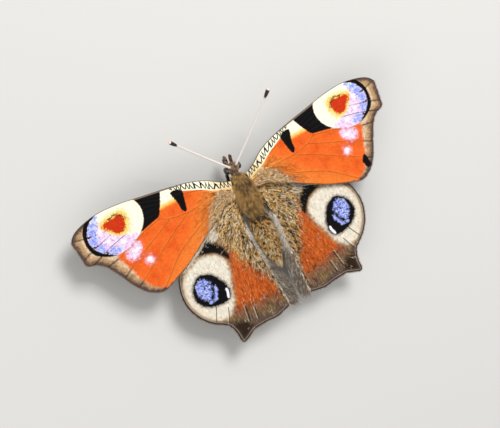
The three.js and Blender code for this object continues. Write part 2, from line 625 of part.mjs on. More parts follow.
function foreLift(out, back, height) {
  return [out, back, wingLevel - foreDroop * out + foreArch * Math.sin(Math.PI * out / 31) + height];
}
// The strip follows an arc of foldRadius about the fold line and then runs straight down, opening out behind
// the abdomen
function hindLift(out, back, height) {
  const { smoothstep } = THREE.MathUtils;
  const angle = foldAngle * (1 - smoothstep(back, 16, 20.5)) * smoothstep(back, 5, 8.5) + 0.001;
  const arc = foldRadius * angle;
  const start = foldAt(back) + arc / 2;
  const along = start - out;
  const level = hindLevel - hindDroop * Math.max(out, start);
  if (along < 0) return [out, back, level + height];
  const bend = Math.min(along / foldRadius, angle);
  const rest = Math.max(along - arc, 0);
  return [
    start - (foldRadius + height) * Math.sin(bend) - rest * Math.cos(bend), back,
    level + height - (foldRadius + height) * (1 - Math.cos(bend)) - rest * Math.sin(bend),
  ];
}
function addWings(name, net, lift, sweepLeft) {
  for (const [suffix, side] of [['left', 1], ['right', -1]]) {
    const sweep = sweepLeft * side;
    addPiece(`${name}_${suffix}`, wingGeometry(net, (out, back, height) => {
      const [o, b, z] = lift(out, back, height);
      return new THREE.Vector3(
        side * (o * Math.cos(sweep) - b * Math.sin(sweep)), o * Math.sin(sweep) + b * Math.cos(sweep), z);
    }), 'red');
  }
}
addWings('forewing', veinNet(foreRootEdge, foreMargin, foreVeins), foreLift, foreSweepLeft);
addWings('hindwing', veinNet(hindRootEdge, hindMargin, hindVeins), hindLift, hindSweepLeft);

// The origin is the middle of the footprint of the whole animal, on the floor
model.updateMatrixWorld(true);
const box = new THREE.Box3().setFromObject(model, true);
model.position.set(-(box.min.x + box.max.x) / 2, -(box.min.y + box.max.y) / 2, -box.min.z);

export default model;
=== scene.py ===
"""Peacock butterfly, life size: wing sheets, coat, feelers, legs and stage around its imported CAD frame.

Shapes are worked out in millimetres in the drawing frame of the solids, where y runs back from the forewing
root and z up from the floor, and carried into the model's frame in metres when a mesh is made.
Wing outlines, veins and markings are given as (out, back): out from the body's midline, and back from the
wing root.
"""
import math

import bpy
import numpy as np
from bpy.props import FloatProperty, FloatVectorProperty, IntProperty, PointerProperty
from mathutils import Matrix, Vector


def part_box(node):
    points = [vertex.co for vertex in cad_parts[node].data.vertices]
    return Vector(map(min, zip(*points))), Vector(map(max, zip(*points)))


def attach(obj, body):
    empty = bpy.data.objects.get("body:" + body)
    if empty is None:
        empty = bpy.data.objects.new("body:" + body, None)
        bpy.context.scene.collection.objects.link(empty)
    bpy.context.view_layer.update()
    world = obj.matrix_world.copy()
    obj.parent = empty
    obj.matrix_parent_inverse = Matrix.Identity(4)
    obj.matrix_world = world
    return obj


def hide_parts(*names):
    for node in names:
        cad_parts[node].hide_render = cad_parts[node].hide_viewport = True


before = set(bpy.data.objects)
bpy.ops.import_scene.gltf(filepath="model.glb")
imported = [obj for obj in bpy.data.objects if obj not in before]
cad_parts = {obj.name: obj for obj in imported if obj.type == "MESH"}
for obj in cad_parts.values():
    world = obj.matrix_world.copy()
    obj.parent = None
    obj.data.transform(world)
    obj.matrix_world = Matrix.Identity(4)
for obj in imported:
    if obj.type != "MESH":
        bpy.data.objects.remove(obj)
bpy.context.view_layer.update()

bl_info = {
    "name": "Peacock butterfly",
    "version": (1, 0, 0),
    "blender": (4, 5, 0),
    "location": "View3D > Sidebar > Butterfly",
    "description": "Wings, coat, feelers, legs and stage of a life-size peacock butterfly",
    "category": "Object",
}

MM = 0.001
SIDES = {"left": 1, "right": -1}


# Shapes in numpy


def smooth(value, low, high):
    """0 at low and 1 at high and beyond each, with a cubic ease between. Low may be the larger of the two."""
    share = np.clip((value - low) / (high - low), 0, 1)
    return share * share * (3 - 2 * share)


def unit(vectors):
    """Vectors divided by their lengths."""
    return vectors / np.linalg.norm(vectors, axis=-1, keepdims=True)


def spline(points, per_span=8, closed=False):
    """A Catmull-Rom curve: each span is the cubic through its two ends, with slopes of half the chord between
    each end's neighbours."""
    p = np.asarray(points, float)
    if closed:
        p = np.vstack([p[-1:], p, p[:2]])
    else:
        p = np.vstack([2 * p[:1] - p[1:2], p, 2 * p[-1:] - p[-2:-1]])
    t = np.linspace(0, 1, per_span, endpoint=False)[None, :, None]
    a, b, c, d = (p[i:len(p) - 3 + i, None] for i in range(4))
    curve = 0.5 * (2 * b + (c - a) * t + (2 * a - 5 * b + 4 * c - d) * t ** 2
                   + (3 * b - a - 3 * c + d) * t ** 3)
    return np.vstack([curve.reshape(-1, p.shape[1]), p[-2:-1]])


def travel(line):
    """Distance travelled along a line at each of its points."""
    return np.concatenate([[0], np.cumsum(np.linalg.norm(np.diff(line, axis=0), axis=1))])


def evenly(line, count):
    """The same line with count points at even distances along it."""
    line = np.asarray(line, float)
    travelled = travel(line)
    wanted = np.linspace(0, travelled[-1], count)
    return np.stack([np.interp(wanted, travelled, line[:, k]) for k in range(line.shape[1])], 1)


def turns(count):
    """Angles at even steps round a circle."""
    return np.arange(count) / count * 2 * np.pi


def distance_to(places, line):
    """Shortest distance to a line of straight links: on each link the foot of the perpendicular, kept between
    the link's ends."""
    best = np.full(len(places), np.inf)
    for start, step in zip(line[:-1], np.diff(line, axis=0)):
        share = np.clip(((places - start) @ step) / max(step @ step, 1e-12), 0, 1)
        best = np.minimum(best, np.linalg.norm(places - start - share[:, None] * step, axis=1))
    return best


def outside(places, outline):
    """Distance to a closed outline, negative inside it. A place is inside if a line from it crosses the
    outline an odd number of times."""
    x, y = places.T
    odd = np.zeros(len(places), bool)
    for (ax, ay), (bx, by) in zip(outline[:-1], outline[1:]):
        if ay != by:
            odd ^= ((ay > y) != (by > y)) & (x < (bx - ax) * (y - ay) / (by - ay) + ax)
    away = distance_to(places, outline)
    return np.where(odd, -away, away)


def grid_triangles(rows, columns, wrapped=False):
    """Two triangles for each cell of a grid of points numbered along its rows."""
    across = np.arange(columns if wrapped else columns - 1)
    r, c = np.meshgrid(np.arange(rows - 1), across, indexing="ij")
    a, b = r * columns + c, r * columns + (c + 1) % columns
    d, e = a + columns, b + columns
    return np.concatenate([np.stack([a, b, e], -1).reshape(-1, 3), np.stack([a, e, d], -1).reshape(-1, 3)])


def closed_rings(rings):
    """A skin over rings of equally many points, closed at each end by a fan to a pole in the end ring's
    middle."""
    rows, columns = rings.shape[:2]
    points = np.vstack([rings.reshape(-1, 3), rings[0].mean(0), rings[-1].mean(0)])
    around = np.arange(columns)
    following = (around + 1) % columns
    last = (rows - 1) * columns
    fans = [
        np.stack([np.full(columns, rows * columns), following, around], 1),
        np.stack([np.full(columns, rows * columns + 1), last + around, last + following], 1),
    ]
    return points, np.concatenate([grid_triangles(rows, columns, wrapped=True), *fans])


def ring_uv(rows, columns):
    """Places on the unwrap for the points of closed_rings: round and along the rings, and then the poles."""
    r, c = np.meshgrid(np.linspace(0.02, 0.98, rows), np.arange(columns) / columns, indexing="ij")
    return np.vstack([np.stack([c.ravel(), r.ravel()], 1), [[0.5, 0.0], [0.5, 1.0]]])


def rings_along(path, radius, sides, upright):
    """A round profile of the given radius at each point of a path, in the plane across the path's direction,
    and the directions."""
    along = unit(np.gradient(path, axis=0))
    across = unit(np.cross(along, np.asarray(upright, float)))
    above = np.cross(across, along)
    angle = turns(sides)
    ring = np.cos(angle)[None, :, None] * across[:, None] + np.sin(angle)[None, :, None] * above[:, None]
    return path[:, None] + np.broadcast_to(radius, len(path))[:, None, None] * ring, along


def round_ends(share, blunt=0.06):
    """A factor for a radius that closes both ends of a limb: a quarter of an ellipse at each end."""
    near = np.minimum(share, 1 - share) / blunt
    return np.sqrt(np.clip(1 - (1 - np.clip(near, 0, 1)) ** 2, 0.02, 1))


def ellipsoid(centre, size, rows, columns):
    """Rings of an ellipsoid: at each height the ring's half widths shrink as the cosine of the latitude."""
    latitude = np.linspace(-np.pi / 2, np.pi / 2, rows + 2)[1:-1, None]
    angle = turns(columns)[None]
    ball = np.stack([np.cos(latitude) * np.cos(angle), np.cos(latitude) * np.sin(angle),
                     np.sin(latitude) * np.ones_like(angle)], -1)
    return closed_rings(ball * np.asarray(size) + np.asarray(centre))


def mirrored(points, side):
    """The same points on the other side of the body for side -1."""
    return points * np.array([side, 1, 1])


# Meshes and pieces

LOW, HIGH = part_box("thorax")
THORAX = {"front": 0.05, "back": 7.75, "width": 4.7, "height": 4.4, "level": 5.5}
SHIFT = np.array([(LOW.x + HIGH.x) / 2 / MM, LOW.y / MM - THORAX["front"], 0.0])


def outward(points, triangles):
    """Triangles turned round if the body's signed volume is negative."""
    a, b, c = (points[triangles[:, k]] for k in range(3))
    volume = np.einsum("ij,ij->i", a, np.cross(b, c)).sum()
    return triangles if volume > 0 else triangles[:, ::-1]


def add_piece(name, body, materials, replaces=(), fields=None, unwrap=None, face_looks=None):
    """A mesh object from points in millimetres, with its fields as attributes and its unwrap as the bake's
    UV map."""
    points, triangles = body
    triangles = outward(points, triangles)
    mesh = bpy.data.meshes.new(name)
    mesh.vertices.add(len(points))
    mesh.vertices.foreach_set("co", ((points + SHIFT) * MM).astype(np.float32).ravel())
    mesh.loops.add(triangles.size)
    mesh.loops.foreach_set("vertex_index", triangles.astype(np.int32).ravel())
    mesh.polygons.add(len(triangles))
    mesh.polygons.foreach_set("loop_start", np.arange(0, triangles.size, 3, dtype=np.int32))
    mesh.polygons.foreach_set("use_smooth", np.ones(len(triangles), bool))
    for material in materials:
        mesh.materials.append(material)
    if face_looks is not None:
        mesh.polygons.foreach_set("material_index", face_looks.astype(np.int32))
    mesh.update(calc_edges=True)
    for key, values in (fields or {}).items():
        kind, part = ("FLOAT", "value") if values.ndim == 1 else ("FLOAT_VECTOR", "vector")
        data = mesh.attributes.new(key, kind, "POINT").data
        data.foreach_set(part, values.astype(np.float32).ravel())
    if unwrap is not None:
        corners = unwrap[triangles.ravel()].astype(np.float32)
        mesh.uv_layers.new(name="OFBake").data.foreach_set("uv", corners.ravel())
    piece = bpy.data.objects.new(name, mesh)
    bpy.context.scene.collection.objects.link(piece)
    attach(piece, "root")
    if replaces:
        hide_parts(*replaces)
    return piece


# A hair's rings, as shares of its length and of its root's radius, its points, and its patch on the unwrap
TUFT_RINGS = np.array([0.0, 0.38, 0.72])
TUFT_RADII = np.array([1.0, 0.85, 0.55])
TUFT_POINTS = 10
TUFT_PATCH = 0.003


def tufts(roots, ways, bend, lengths, radii, root_uv):
    """Hairs as three-sided spikes. A hair's middle line leaves its root along its way and turns by bend times
    the square of the share travelled, and its radius falls from the root to a point at the tip."""
    count = len(roots)
    ways = unit(ways)
    across = unit(np.cross(ways, np.array([0.31, 0.17, 0.93])))
    above = np.cross(ways, across)
    share = np.append(TUFT_RINGS, 1.0)
    middle = (roots[:, None] + ways[:, None] * (lengths[:, None] * share)[..., None]
              + bend[:, None] * (lengths[:, None] * share ** 2)[..., None])
    thick = radii[:, None] * TUFT_RADII
    angle = turns(3)
    ring = np.cos(angle)[:, None] * across[:, None, None] + np.sin(angle)[:, None] * above[:, None, None]
    rings = middle[:, :3, None] + thick[..., None, None] * ring
    points = np.concatenate([rings.reshape(count, 9, 3), middle[:, 3:]], 1)
    shape = []
    for low in (0, 3):
        for a, b in ((0, 1), (1, 2), (2, 0)):
            shape += [(low + a, low + b, low + 3 + b), (low + a, low + 3 + b, low + 3 + a)]
    shape += [(6, 7, 9), (7, 8, 9), (8, 6, 9), (0, 2, 1)]
    triangles = np.arange(count)[:, None, None] * TUFT_POINTS + np.array(shape)[None]
    along = np.concatenate([np.repeat(TUFT_RINGS, 3), [1.0]])
    patch = np.stack([np.concatenate([np.tile([0.0, 0.5, 1.0], 3), [0.5]]), along], 1) * TUFT_PATCH
    unwrap = np.clip(root_uv, 0.0, 0.996)[:, None] + patch[None]
    return (points.reshape(-1, 3), triangles.reshape(-1, 3)), unwrap.reshape(-1, 2), np.tile(along, count)


def clumped(roots, ways, bend, lengths, rng, clumps, pull, shared_shade=0.6):
    """The bend that also draws each hair's tip towards the tip of the nearest of some chosen hairs, and a
    shade for each hair that is partly its clump's."""
    tips = roots + (ways + bend) * lengths[:, None]
    chosen = rng.choice(len(roots), clumps, replace=False)
    near = np.concatenate([
        np.argmin(((part[:, None] - roots[chosen][None]) ** 2).sum(-1), 1)
        for part in np.array_split(roots, max(len(roots) // 2000, 1))])
    shared = tips + pull * (tips[chosen][near] - tips)
    shade = shared_shade * rng.random(clumps)[near] + (1 - shared_shade) * rng.random(len(roots))
    return (shared - roots) / lengths[:, None] - ways, shade


def add_coat(name, roots, ways, bend, lengths, radii, root_uv, material, shade, fields=None):
    """One coat piece, with a shade for each hair, the share along it, and its root's own fields."""
    body, unwrap, along = tufts(roots, ways, bend, lengths, radii, root_uv)
    values = {"along": along}
    for key, field in {"shade": shade, **(fields or {})}.items():
        values[key] = np.repeat(field, TUFT_POINTS, axis=0)
    return add_piece(name, body, [material], fields=values, unwrap=unwrap)


def wrapped(grid):
    """A grid of rings with its first column repeated at the end."""
    return np.concatenate([grid, grid[:, :1]], 1)


def ring_plan(rings):
    """Places on the unwrap for wrapped rings."""
    rows, columns = rings.shape[:2]
    r, c = np.meshgrid(np.linspace(0.02, 0.98, rows), np.linspace(0, 0.99, columns + 1), indexing="ij")
    return np.stack([c, r], -1)


def scatter(grid, layers, count, rng, weight=None):
    """Random places on the cells of a grid, each cell as likely as its area times its weight. Gives the
    points, the cells' normals, and each layer's value there."""
    across, down = np.diff(grid, axis=1), np.diff(grid, axis=0)
    normal = np.cross(across[:-1], down[:, :-1])
    chance = np.linalg.norm(normal, axis=-1) * (1 if weight is None else weight[:-1, :-1])
    pick = rng.choice(chance.size, count, p=(chance / chance.sum()).ravel())
    r, c = np.divmod(pick, chance.shape[1])
    v, u = rng.random((2, count, 1))

    def blend(values):
        return (1 - v) * ((1 - u) * values[r, c] + u * values[r, c + 1]) + v * (
            (1 - u) * values[r + 1, c] + u * values[r + 1, c + 1])

    return blend(grid), unit(normal[r, c] + 1e-12), [blend(layer) for layer in layers]


def laid(normals, lie, lift, rng, spread):
    """Ways of hairs that lean along a lie on the surface, lifted from it, each turned a little at random."""
    flat = lie - normals * np.sum(lie * normals, 1, keepdims=True)
    flat = unit(flat + 1e-9)
    lift = np.broadcast_to(lift, len(normals))[:, None]
    return unit(flat * np.cos(lift) + normals * np.sin(lift) + rng.normal(0, spread, normals.shape))


# Sizes and colours that a user would change


def size(label, text, default):
    """A length in millimetres."""
    return FloatProperty(name=label, description=text, default=default, min=0.0)


def strength(label, text, default, **settings):
    """The strength of a light."""
    return FloatProperty(name=label, description=text, default=default, **settings)


def count(label, text, default, least=0):
    """A number of hairs."""
    return IntProperty(name=label, description=text, default=default, min=least)


def colour(label, text, *value):
    """A colour given in 0 to 255 as it looks on a screen, kept in linear light."""
    shares = [part / 255 for part in value]
    linear = [v / 12.92 if v <= 0.04045 else ((v + 0.055) / 1.055) ** 2.4 for v in shares]
    return FloatVectorProperty(name=label, description=text, default=linear, subtype="COLOR", min=0, max=1)


class WingSettings(bpy.types.PropertyGroup):
    thickness: size("Wing thickness", "Membrane and scales together, mm", 0.13)
    vein_rise: size("Vein rise", "How far a vein stands over the sheet, mm", 0.07)
    vein_width: size("Vein width", "Half width of a vein, mm", 0.12)
    pucker: size("Pucker", "How far the sheet sinks between veins, mm", 0.07)
    spacing: size("Mesh spacing", "Distance between mesh points, mm", 0.16)
    wing_hairs: count("Wing hairs", "Hairs on a hindwing; a forewing has half", 11500, 20)
    scale_size: size("Scale size", "Width of one wing scale, mm", 0.11)
    orange: colour("Orange", "Main field of the forewings", 236, 104, 36)
    red_orange: colour("Red orange", "Deeper parts of the main field", 214, 76, 20)
    rust: colour("Rust", "Darker part of the hindwing field", 162, 66, 16)
    ember: colour("Ember", "Lighter part of the hindwing field", 198, 92, 34)
    gold: colour("Gold", "Field near the roots and rear edges", 236, 140, 56)
    straw: colour("Straw", "Golden hairs over the bases", 232, 186, 108)
    tan: colour("Tan", "Forewing margin", 182, 146, 106)
    sand: colour("Sand", "Palest part of the forewing margin", 226, 198, 164)
    dusk: colour("Dusk", "Dark outer edge of the margins", 84, 66, 60)
    olive: colour("Olive", "Hindwing margin", 108, 88, 60)
    cream: colour("Cream", "Light patches", 255, 250, 222)
    yellow: colour("Yellow", "Rim of the light patches", 252, 206, 104)
    black: colour("Black", "Bars and spots", 10, 8, 8)
    soot: colour("Soot", "Dark ground under the hair of the bases", 46, 33, 22)
    heart: colour("Heart", "Red middle of the forewing spot", 200, 52, 14)
    lilac: colour("Lilac", "Rear part of the forewing spot", 216, 164, 218)
    dun: colour("Dun", "Rear of the inner margin", 132, 114, 98)
    mauve: colour("Mauve", "Paler scales among the lilac", 244, 228, 244)
    blue: colour("Blue", "Blue scales", 112, 132, 232)
    sky: colour("Sky", "Pale flecks among the blue", 196, 204, 248)
    ring: colour("Ring", "Ring round the hindwing eye", 232, 223, 204)
    buff: colour("Buff", "Hairy front of the hindwing", 228, 218, 202)
    ash: colour("Ash", "Hair of the inner margin", 176, 166, 152)
    pearl: colour("Pearl", "Whitish hair of the inner margin", 255, 246, 230)
    under: colour("Underside", "Ground colour beneath", 34, 26, 22)


class BodySettings(bpy.types.PropertyGroup):
    hair_depth: size("Hair depth", "How far the skin lies inside the coat, mm", 0.5)
    thorax_hairs: count("Thorax hairs", "Hairs on the thorax", 11500)
    abdomen_hairs: count("Abdomen hairs", "Hairs on the abdomen", 10500)
    head_hairs: count("Head hairs", "Hairs on the head", 4200)
    golden: colour("Golden", "Bright hairs of the body", 212, 166, 94)
    amber: colour("Amber", "Bright hairs of the abdomen", 230, 174, 84)
    brown: colour("Brown", "Dark hairs of the body", 104, 80, 46)
    tip: colour("Tip", "Pale hair tips", 224, 196, 150)
    sandy: colour("Sandy", "Palest hairs of the abdomen", 246, 226, 184)
    rose: colour("Rose", "Pinkish brown hairs of the face", 154, 114, 94)
    skin: colour("Skin", "Skin under the coat", 48, 36, 25)
    eye: colour("Eye", "Faceted eye", 44, 26, 18)
    # The feeler shaft colour is partly the feelers' own white scales and partly painted sunlight, paler than
    # the shafts' own dark-and-white ringed colour
    shaft: colour("Feeler shaft", "Pale scales of the feelers", 246, 240, 234)
    club: colour("Feeler club", "Dark part of the club", 40, 28, 26)
    club_tip: colour("Club tip", "Pale end of the club", 240, 214, 200)
    leg: colour("Leg", "Scales of the legs", 104, 76, 50)
    tongue: colour("Tongue", "Coiled tongue", 46, 30, 22)


class StageSettings(bpy.types.PropertyGroup):
    floor: colour("Floor", "Plain floor", 214, 212, 208)
    key: strength("Key light", "Power of the main soft light", 1.4, unit="POWER")
    fill: strength("Fill light", "Power of the light opposite", 0.35, unit="POWER")
    sky: strength("Sky", "Strength of the even light from all round", 0.5)


# Materials


class Looks:
    """One material's nodes. A value may be a socket, a number or a colour."""

    def __init__(self, name):
        self.material = bpy.data.materials.new(name)
        self.material.use_nodes = True
        self.nodes = self.material.node_tree.nodes
        self.links = self.material.node_tree.links
        self.shader = self.nodes["Principled BSDF"]

    def put(self, socket, value):
        """Links a socket, or sets the constant."""
        if isinstance(value, bpy.types.NodeSocket):
            self.links.new(value, socket)
        elif isinstance(value, (int, float)):
            socket.default_value = value
        else:
            socket.default_value = (*value, 1.0)[:4] if len(socket.default_value) == 4 else tuple(value)

    def node(self, kind, inputs=(), **settings):
        made = self.nodes.new(kind)
        for key, value in settings.items():
            setattr(made, key, value)
        for key, value in dict(inputs).items():
            self.put(made.inputs[key], value)
        return made

    def field(self, name):
        return self.node("ShaderNodeAttribute", attribute_name=name).outputs["Fac"]

    def place(self, name):
        return self.node("ShaderNodeAttribute", attribute_name=name).outputs["Vector"]

    def sum(self, operation, *values):
        """A sum of the given kind, such as MULTIPLY_ADD, over sockets and numbers."""
        return self.node("ShaderNodeMath", dict(enumerate(values)), operation=operation).outputs[0]

    def times(self, first, second):
        return self.sum("MULTIPLY", first, second)

    def step(self, value, low, high):
        """0 where the value is at low, 1 at high, eased between them."""
        return self.node("ShaderNodeMapRange", {"Value": value, "From Min": low, "From Max": high},
                         interpolation_type="SMOOTHSTEP").outputs["Result"]

    def mix(self, factor, first, second, blend="MIX"):
        made = self.node("ShaderNodeMix", data_type="RGBA", blend_type=blend, clamp_factor=True)
        self.put(made.inputs[0], factor)
        self.put(made.inputs[6], first)
        self.put(made.inputs[7], second)
        return made.outputs[2]

    def layers(self, base, *layers):
        """A base under layers of colour, each one (mask, colour) or (mask, colour, strength)."""
        for mask, colour, *strength in layers:
            base = self.mix(self.times(mask, *strength) if strength else mask, base, colour)
        return base

    def stretch(self, vector, scale):
        return self.node("ShaderNodeVectorMath", {0: vector, 1: scale}, operation="MULTIPLY").outputs[0]

    def noise(self, vector, scale, detail=2.0):
        inputs = {"Vector": vector, "Scale": scale, "Detail": detail}
        return self.node("ShaderNodeTexNoise", inputs).outputs[0]

    def cells(self, vector, scale):
        """(distance to the cell's middle, a random value for each cell, another one)"""
        made = self.node("ShaderNodeTexVoronoi", {"Vector": vector, "Scale": scale})
        split = self.node("ShaderNodeSeparateColor", {"Color": made.outputs["Color"]})
        return made.outputs["Distance"], split.outputs[0], split.outputs[1]

    def relief(self, height, distance):
        """A bump from a height of 0 to 1, distance metres deep."""
        made = self.node("ShaderNodeBump", {"Height": height, "Distance": distance, "Strength": 1.0})
        self.links.new(made.outputs[0], self.shader.inputs["Normal"])

    def finish(self, base, roughness, **constants):
        self.put(self.shader.inputs["Base Color"], base)
        self.put(self.shader.inputs["Roughness"], roughness)
        for key, value in constants.items():
            self.shader.inputs[key.replace("_", " ")].default_value = value
        return self.material


# Wings

WING_LEVEL = 6.2      # height of the forewing's root
FORE_SLOPE = 0.021    # fall of the forewing for each mm out
FORE_ARCH = 0.22      # how far it rises between root and tip
FORE_SPAN = 31        # from the body's midline to past the tip
HIND_DROP = 1.1       # how much lower the hindwing is
HIND_SLOPE = 0.012    # fall of the hindwing for each mm out
FOLD_ANGLE = 1.3      # by how much the hindwing's inner strip turns down
FOLD_RADIUS = 0.6     # how tightly it turns
FOLD_BEGINS = 5, 8.5      # distances back over which the turn comes in
FOLD_OPENS = 16, 20.5     # and over which it goes out again
STRIP_REAR = 14, 17.5     # and over which the strip's hair changes colour
HAIR_RADIUS = 0.024   # of the wings' hairs
HAIR_GRID = 0.35      # spacing of the grid that hairs are scattered over
FRINGE_STEP = 0.03    # of a wing's edge for each hair of its fringe
INSET = 0.18          # between the sheet's edge and the outline that the fringe reaches
INNER_INSET = 0.06    # the same along the hindwing's inner edge
ROOT_REACH = 0.35     # how far a sheet goes into the thorax, under its hair
RIM_SPAN = 8          # points along each span of a wing's outline
FAR = 9.0             # farther from a mark than any place that it colours

FORE_MARGIN = [
    (2.15, 0.05), (3.4, -0.6), (5.6, -2.0), (8.5, -3.1), (12, -3.9), (16.5, -4.7), (20.5, -5.4),
    (24.3, -5.65), (27.4, -5.2), (29.6, -4.4), (30.7, -3.2), (30.6, -1.4), (30.4, 0.5), (30.2, 1.6),
    (29.4, 2.05), (28.4, 2.4), (27.3, 3.45), (26.4, 5.0), (25.6, 6.5), (24.9, 8.0), (24.2, 9.1),
    (23.2, 10.4), (21.7, 11.4), (20.6, 11.7), (19.4, 11.5), (17.0, 10.6), (14, 9.3), (11, 7.6), (8.4, 6.1),
    (5.6, 4.6), (3.8, 3.6),
]
FORE_VEINS = [
    [(1.8, 0.75), (4, -0.3), (8, -2.2), (12, -3.25), (16.5, -4.7)],
    [(1.9, 1.4), (4, 0.5), (6.5, -0.55), (9, -1.3), (11, -1.75), (13.4, -1.95), (15.0, -2.0)],
    [(11, -1.75), (12.6, -2.6), (15.8, -3.7), (20.5, -5.4)],
    [(13.4, -1.95), (15.0, -2.7), (18.4, -3.9), (22.4, -5.6)],
    [(15.0, -2.0), (18.5, -2.8), (20.0, -3.25), (21.5, -3.75), (23.6, -4.75), (25.9, -5.5)],
    [(21.5, -3.75), (25, -4.1), (28.5, -4.9)],
    [(15.0, -2.0), (15.6, -1.4), (15.8, -0.6), (15.5, 0.25)],
    [(18.5, -2.8), (21.0, -2.25), (26.0, -2.3), (30.7, -3.2)],
    [(15.6, -1.4), (20, -1.4), (24.4, -1.2), (30.4, 0.5)],
    [(15.8, -0.6), (20, -0.45), (24.5, 0.45), (29.4, 2.05)],
    [(15.5, 0.25), (19.5, 1.2), (23.3, 2.6), (27.3, 3.45)],
    [(1.95, 2.0), (3.6, 1.75), (5.9, 1.5), (8.4, 1.6), (10.6, 1.65), (14.0, 1.15), (15.5, 0.25)],
    [(14.0, 1.15), (17.0, 2.5), (21.2, 4.3), (25.6, 6.5)],
    [(10.6, 1.65), (14.2, 3.4), (18.4, 5.8), (24.2, 9.1)],
    [(2.2, 2.6), (4.4, 2.75), (6.8, 3.5), (10.6, 5.0), (15.0, 7.1), (18.3, 9.7), (20.6, 11.7)],
]
HIND_MARGIN = [
    (3.1, 3.35), (6, 3.4), (11, 5.0), (15, 7.9), (17.3, 10.2), (18.3, 12.2), (18.7, 14.2), (18.6, 16.2),
    (17.9, 18.3), (16.8, 20.0), (15.6, 21.2), (14.4, 22.0), (13.6, 22.8), (13.1, 24.4), (13.0, 26.1),
    (12.4, 26.6), (11.5, 26.3), (10.6, 25.9), (9.8, 25.55), (8.5, 25.5), (7.3, 25.5), (5.2, 25.7),
    (3.6, 25.4), (2.1, 25.0), (0.65, 24.7), (0.37, 22.8), (0.55, 20.4), (0.9, 18), (1.0, 15.5),
    (1.05, 12.5), (1.25, 10), (1.9, 8.2),
]
FOLD_LINE = [(2.9, 6.2), (3.0, 9), (2.9, 12), (2.7, 15), (2.5, 18), (2.35, 21), (2.1, 25.0)]
HIND_VEINS = [
    [(2.8, 4.2), (6, 4.7), (10.5, 6.7), (14.5, 9.6), (17.0, 12.4), (18.6, 16.2)],
    [(2.8, 4.9), (5.6, 6.2), (6.9, 7.6), (10, 9.0), (12.4, 10.4), (15.2, 13.6), (17.9, 18.3)],
    [(6.9, 7.6), (9.4, 10.6), (12.2, 14.2), (14.3, 18.4), (15.6, 21.2)],
    [(6.9, 7.6), (7.7, 9.4), (8.0, 11.1), (7.4, 12.9)],
    [(8.0, 11.1), (10, 14.9), (12.1, 19.2), (13.6, 22.8)],
    [(2.8, 5.5), (4.0, 7.4), (5.1, 9.3), (6.0, 11.0), (7.4, 12.9), (9.0, 17), (10.4, 20.8), (11.4, 23.6),
     (12.4, 26.6)],
    [(6.0, 11.0), (6.9, 14.5), (8.5, 21), (9.8, 25.55)],
    [(5.1, 9.3), (5.5, 13.5), (6.5, 19.5), (7.3, 25.5)],
    FOLD_LINE,
    [(2.4, 6.6), (2.1, 9.4), (1.95, 12), (1.55, 15.4), (0.9, 18)],
]

# Markings of the forewing: closed outlines, then lines, and spots as (out, back, radius)
FORE_MARKS = {
    "field": [(2, -1), (9, -4), (18, -5), (19, 0.5), (23.5, 1.9), (24.8, 2.9), (24.1, 4.7), (23.3, 7.2),
              (22.5, 9.0), (21.4, 10.3), (20.2, 11.0), (18.4, 11.0), (10, 8), (3, 5)],
    "tooth": [(12.0, -2.75), (11.0, -2.8), (10.0, -2.3), (10.1, -1.2), (10.4, 0.2), (10.75, 1.25),
              (11.2, 1.2), (11.5, 0.5), (11.6, -0.8), (11.9, -1.9)],
    "patch": [(11.9, -3.9), (13.4, -4.3), (14.3, -2.1), (14.9, -1.0), (13.6, -0.6), (11.7, -0.7),
              (11.6, -1.8)],
    "bar": [(13.2, -4.6), (13.6, -3.4), (14.2, -2.2), (14.8, -1.2), (15.5, -0.1), (16.7, 0.2), (18.1, 0.5),
            (19.5, 0.75), (18.7, -0.3), (18.0, -1.6), (17.7, -2.8), (17.8, -4.0), (18.3, -5.6), (15.5, -5.2)],
    "spot": [(18.1, -4.6), (19.3, -5.6), (21, -6.1), (24.2, -6.4), (26.5, -5.5), (27.9, -4.3), (28.6, -2.7),
             (28.6, -0.9), (28.1, 0.5), (27.1, 1.4), (25.3, 2.2), (23.2, 2.3), (21.2, 1.65), (19.3, 0.6),
             (18.1, -0.9), (17.6, -2.8)],
    "heart": [(20.9, -3.4), (21.9, -3.75), (22.9, -3.6), (24.1, -3.5), (25.0, -2.8), (24.3, -2.2),
              (23.5, -1.3), (22.9, -0.75), (21.8, -0.9), (21.1, -1.7)],
    "lilac": [(19.3, 1.1), (21.7, 0.1), (23.5, -0.7), (24.5, -1.8), (25.2, -2.8), (26.3, -4.2), (31, -4),
              (31, 4), (19, 4)],
    "crescent": [(25.0, -5.5), (26.8, -5.3), (28.1, -4.1), (28.75, -2.3), (28.75, -0.6), (28.25, 0.8),
                 (27.1, 1.65), (25.7, 2.35), (24.3, 2.6), (25.3, 1.95), (26.4, 1.2), (27.35, 0.3),
                 (27.9, -0.8), (28.0, -2.0), (27.6, -3.2), (26.8, -4.4)],
    "violet": [(20.3, 2.1), (21.4, 1.8), (22.9, 2.5), (23.5, 3.4), (22.9, 4.3), (21.6, 4.3), (20.6, 3.5)],
    "nick": [(22.7, 7.6), (23.1, 8.3), (23.2, 9.8), (22.4, 10.3), (22.1, 9.3), (22.0, 8.6)],
}
FORE_COSTA = [(1.4, 1.9), (3.0, 1.2), (5.1, 0.45), (6.8, -0.65), (8.9, -1.6), (10.7, -2.4), (12.2, -3.1)]
FORE_DOTS = [(24.95, -0.4, 0.28), (22.75, 0.75, 0.42), (25.6, -2.4, 0.4), (21.6, 3.15, 0.38),
             (20.15, 5.6, 0.4)]
FORE_SMUDGE = [(20.8, -2.6), (21.2, -3.3), (22.1, -3.9), (23.4, -3.7)]
FORE_BLUES = [(25.6, -4.9, 0.5), (26.3, -4.1, 0.8), (26.8, -3.1, 0.9), (27.2, -1.6, 0.85), (26.8, 0.2, 0.85),
              (25.1, 1.4, 0.75), (24.0, 1.75, 0.5)]
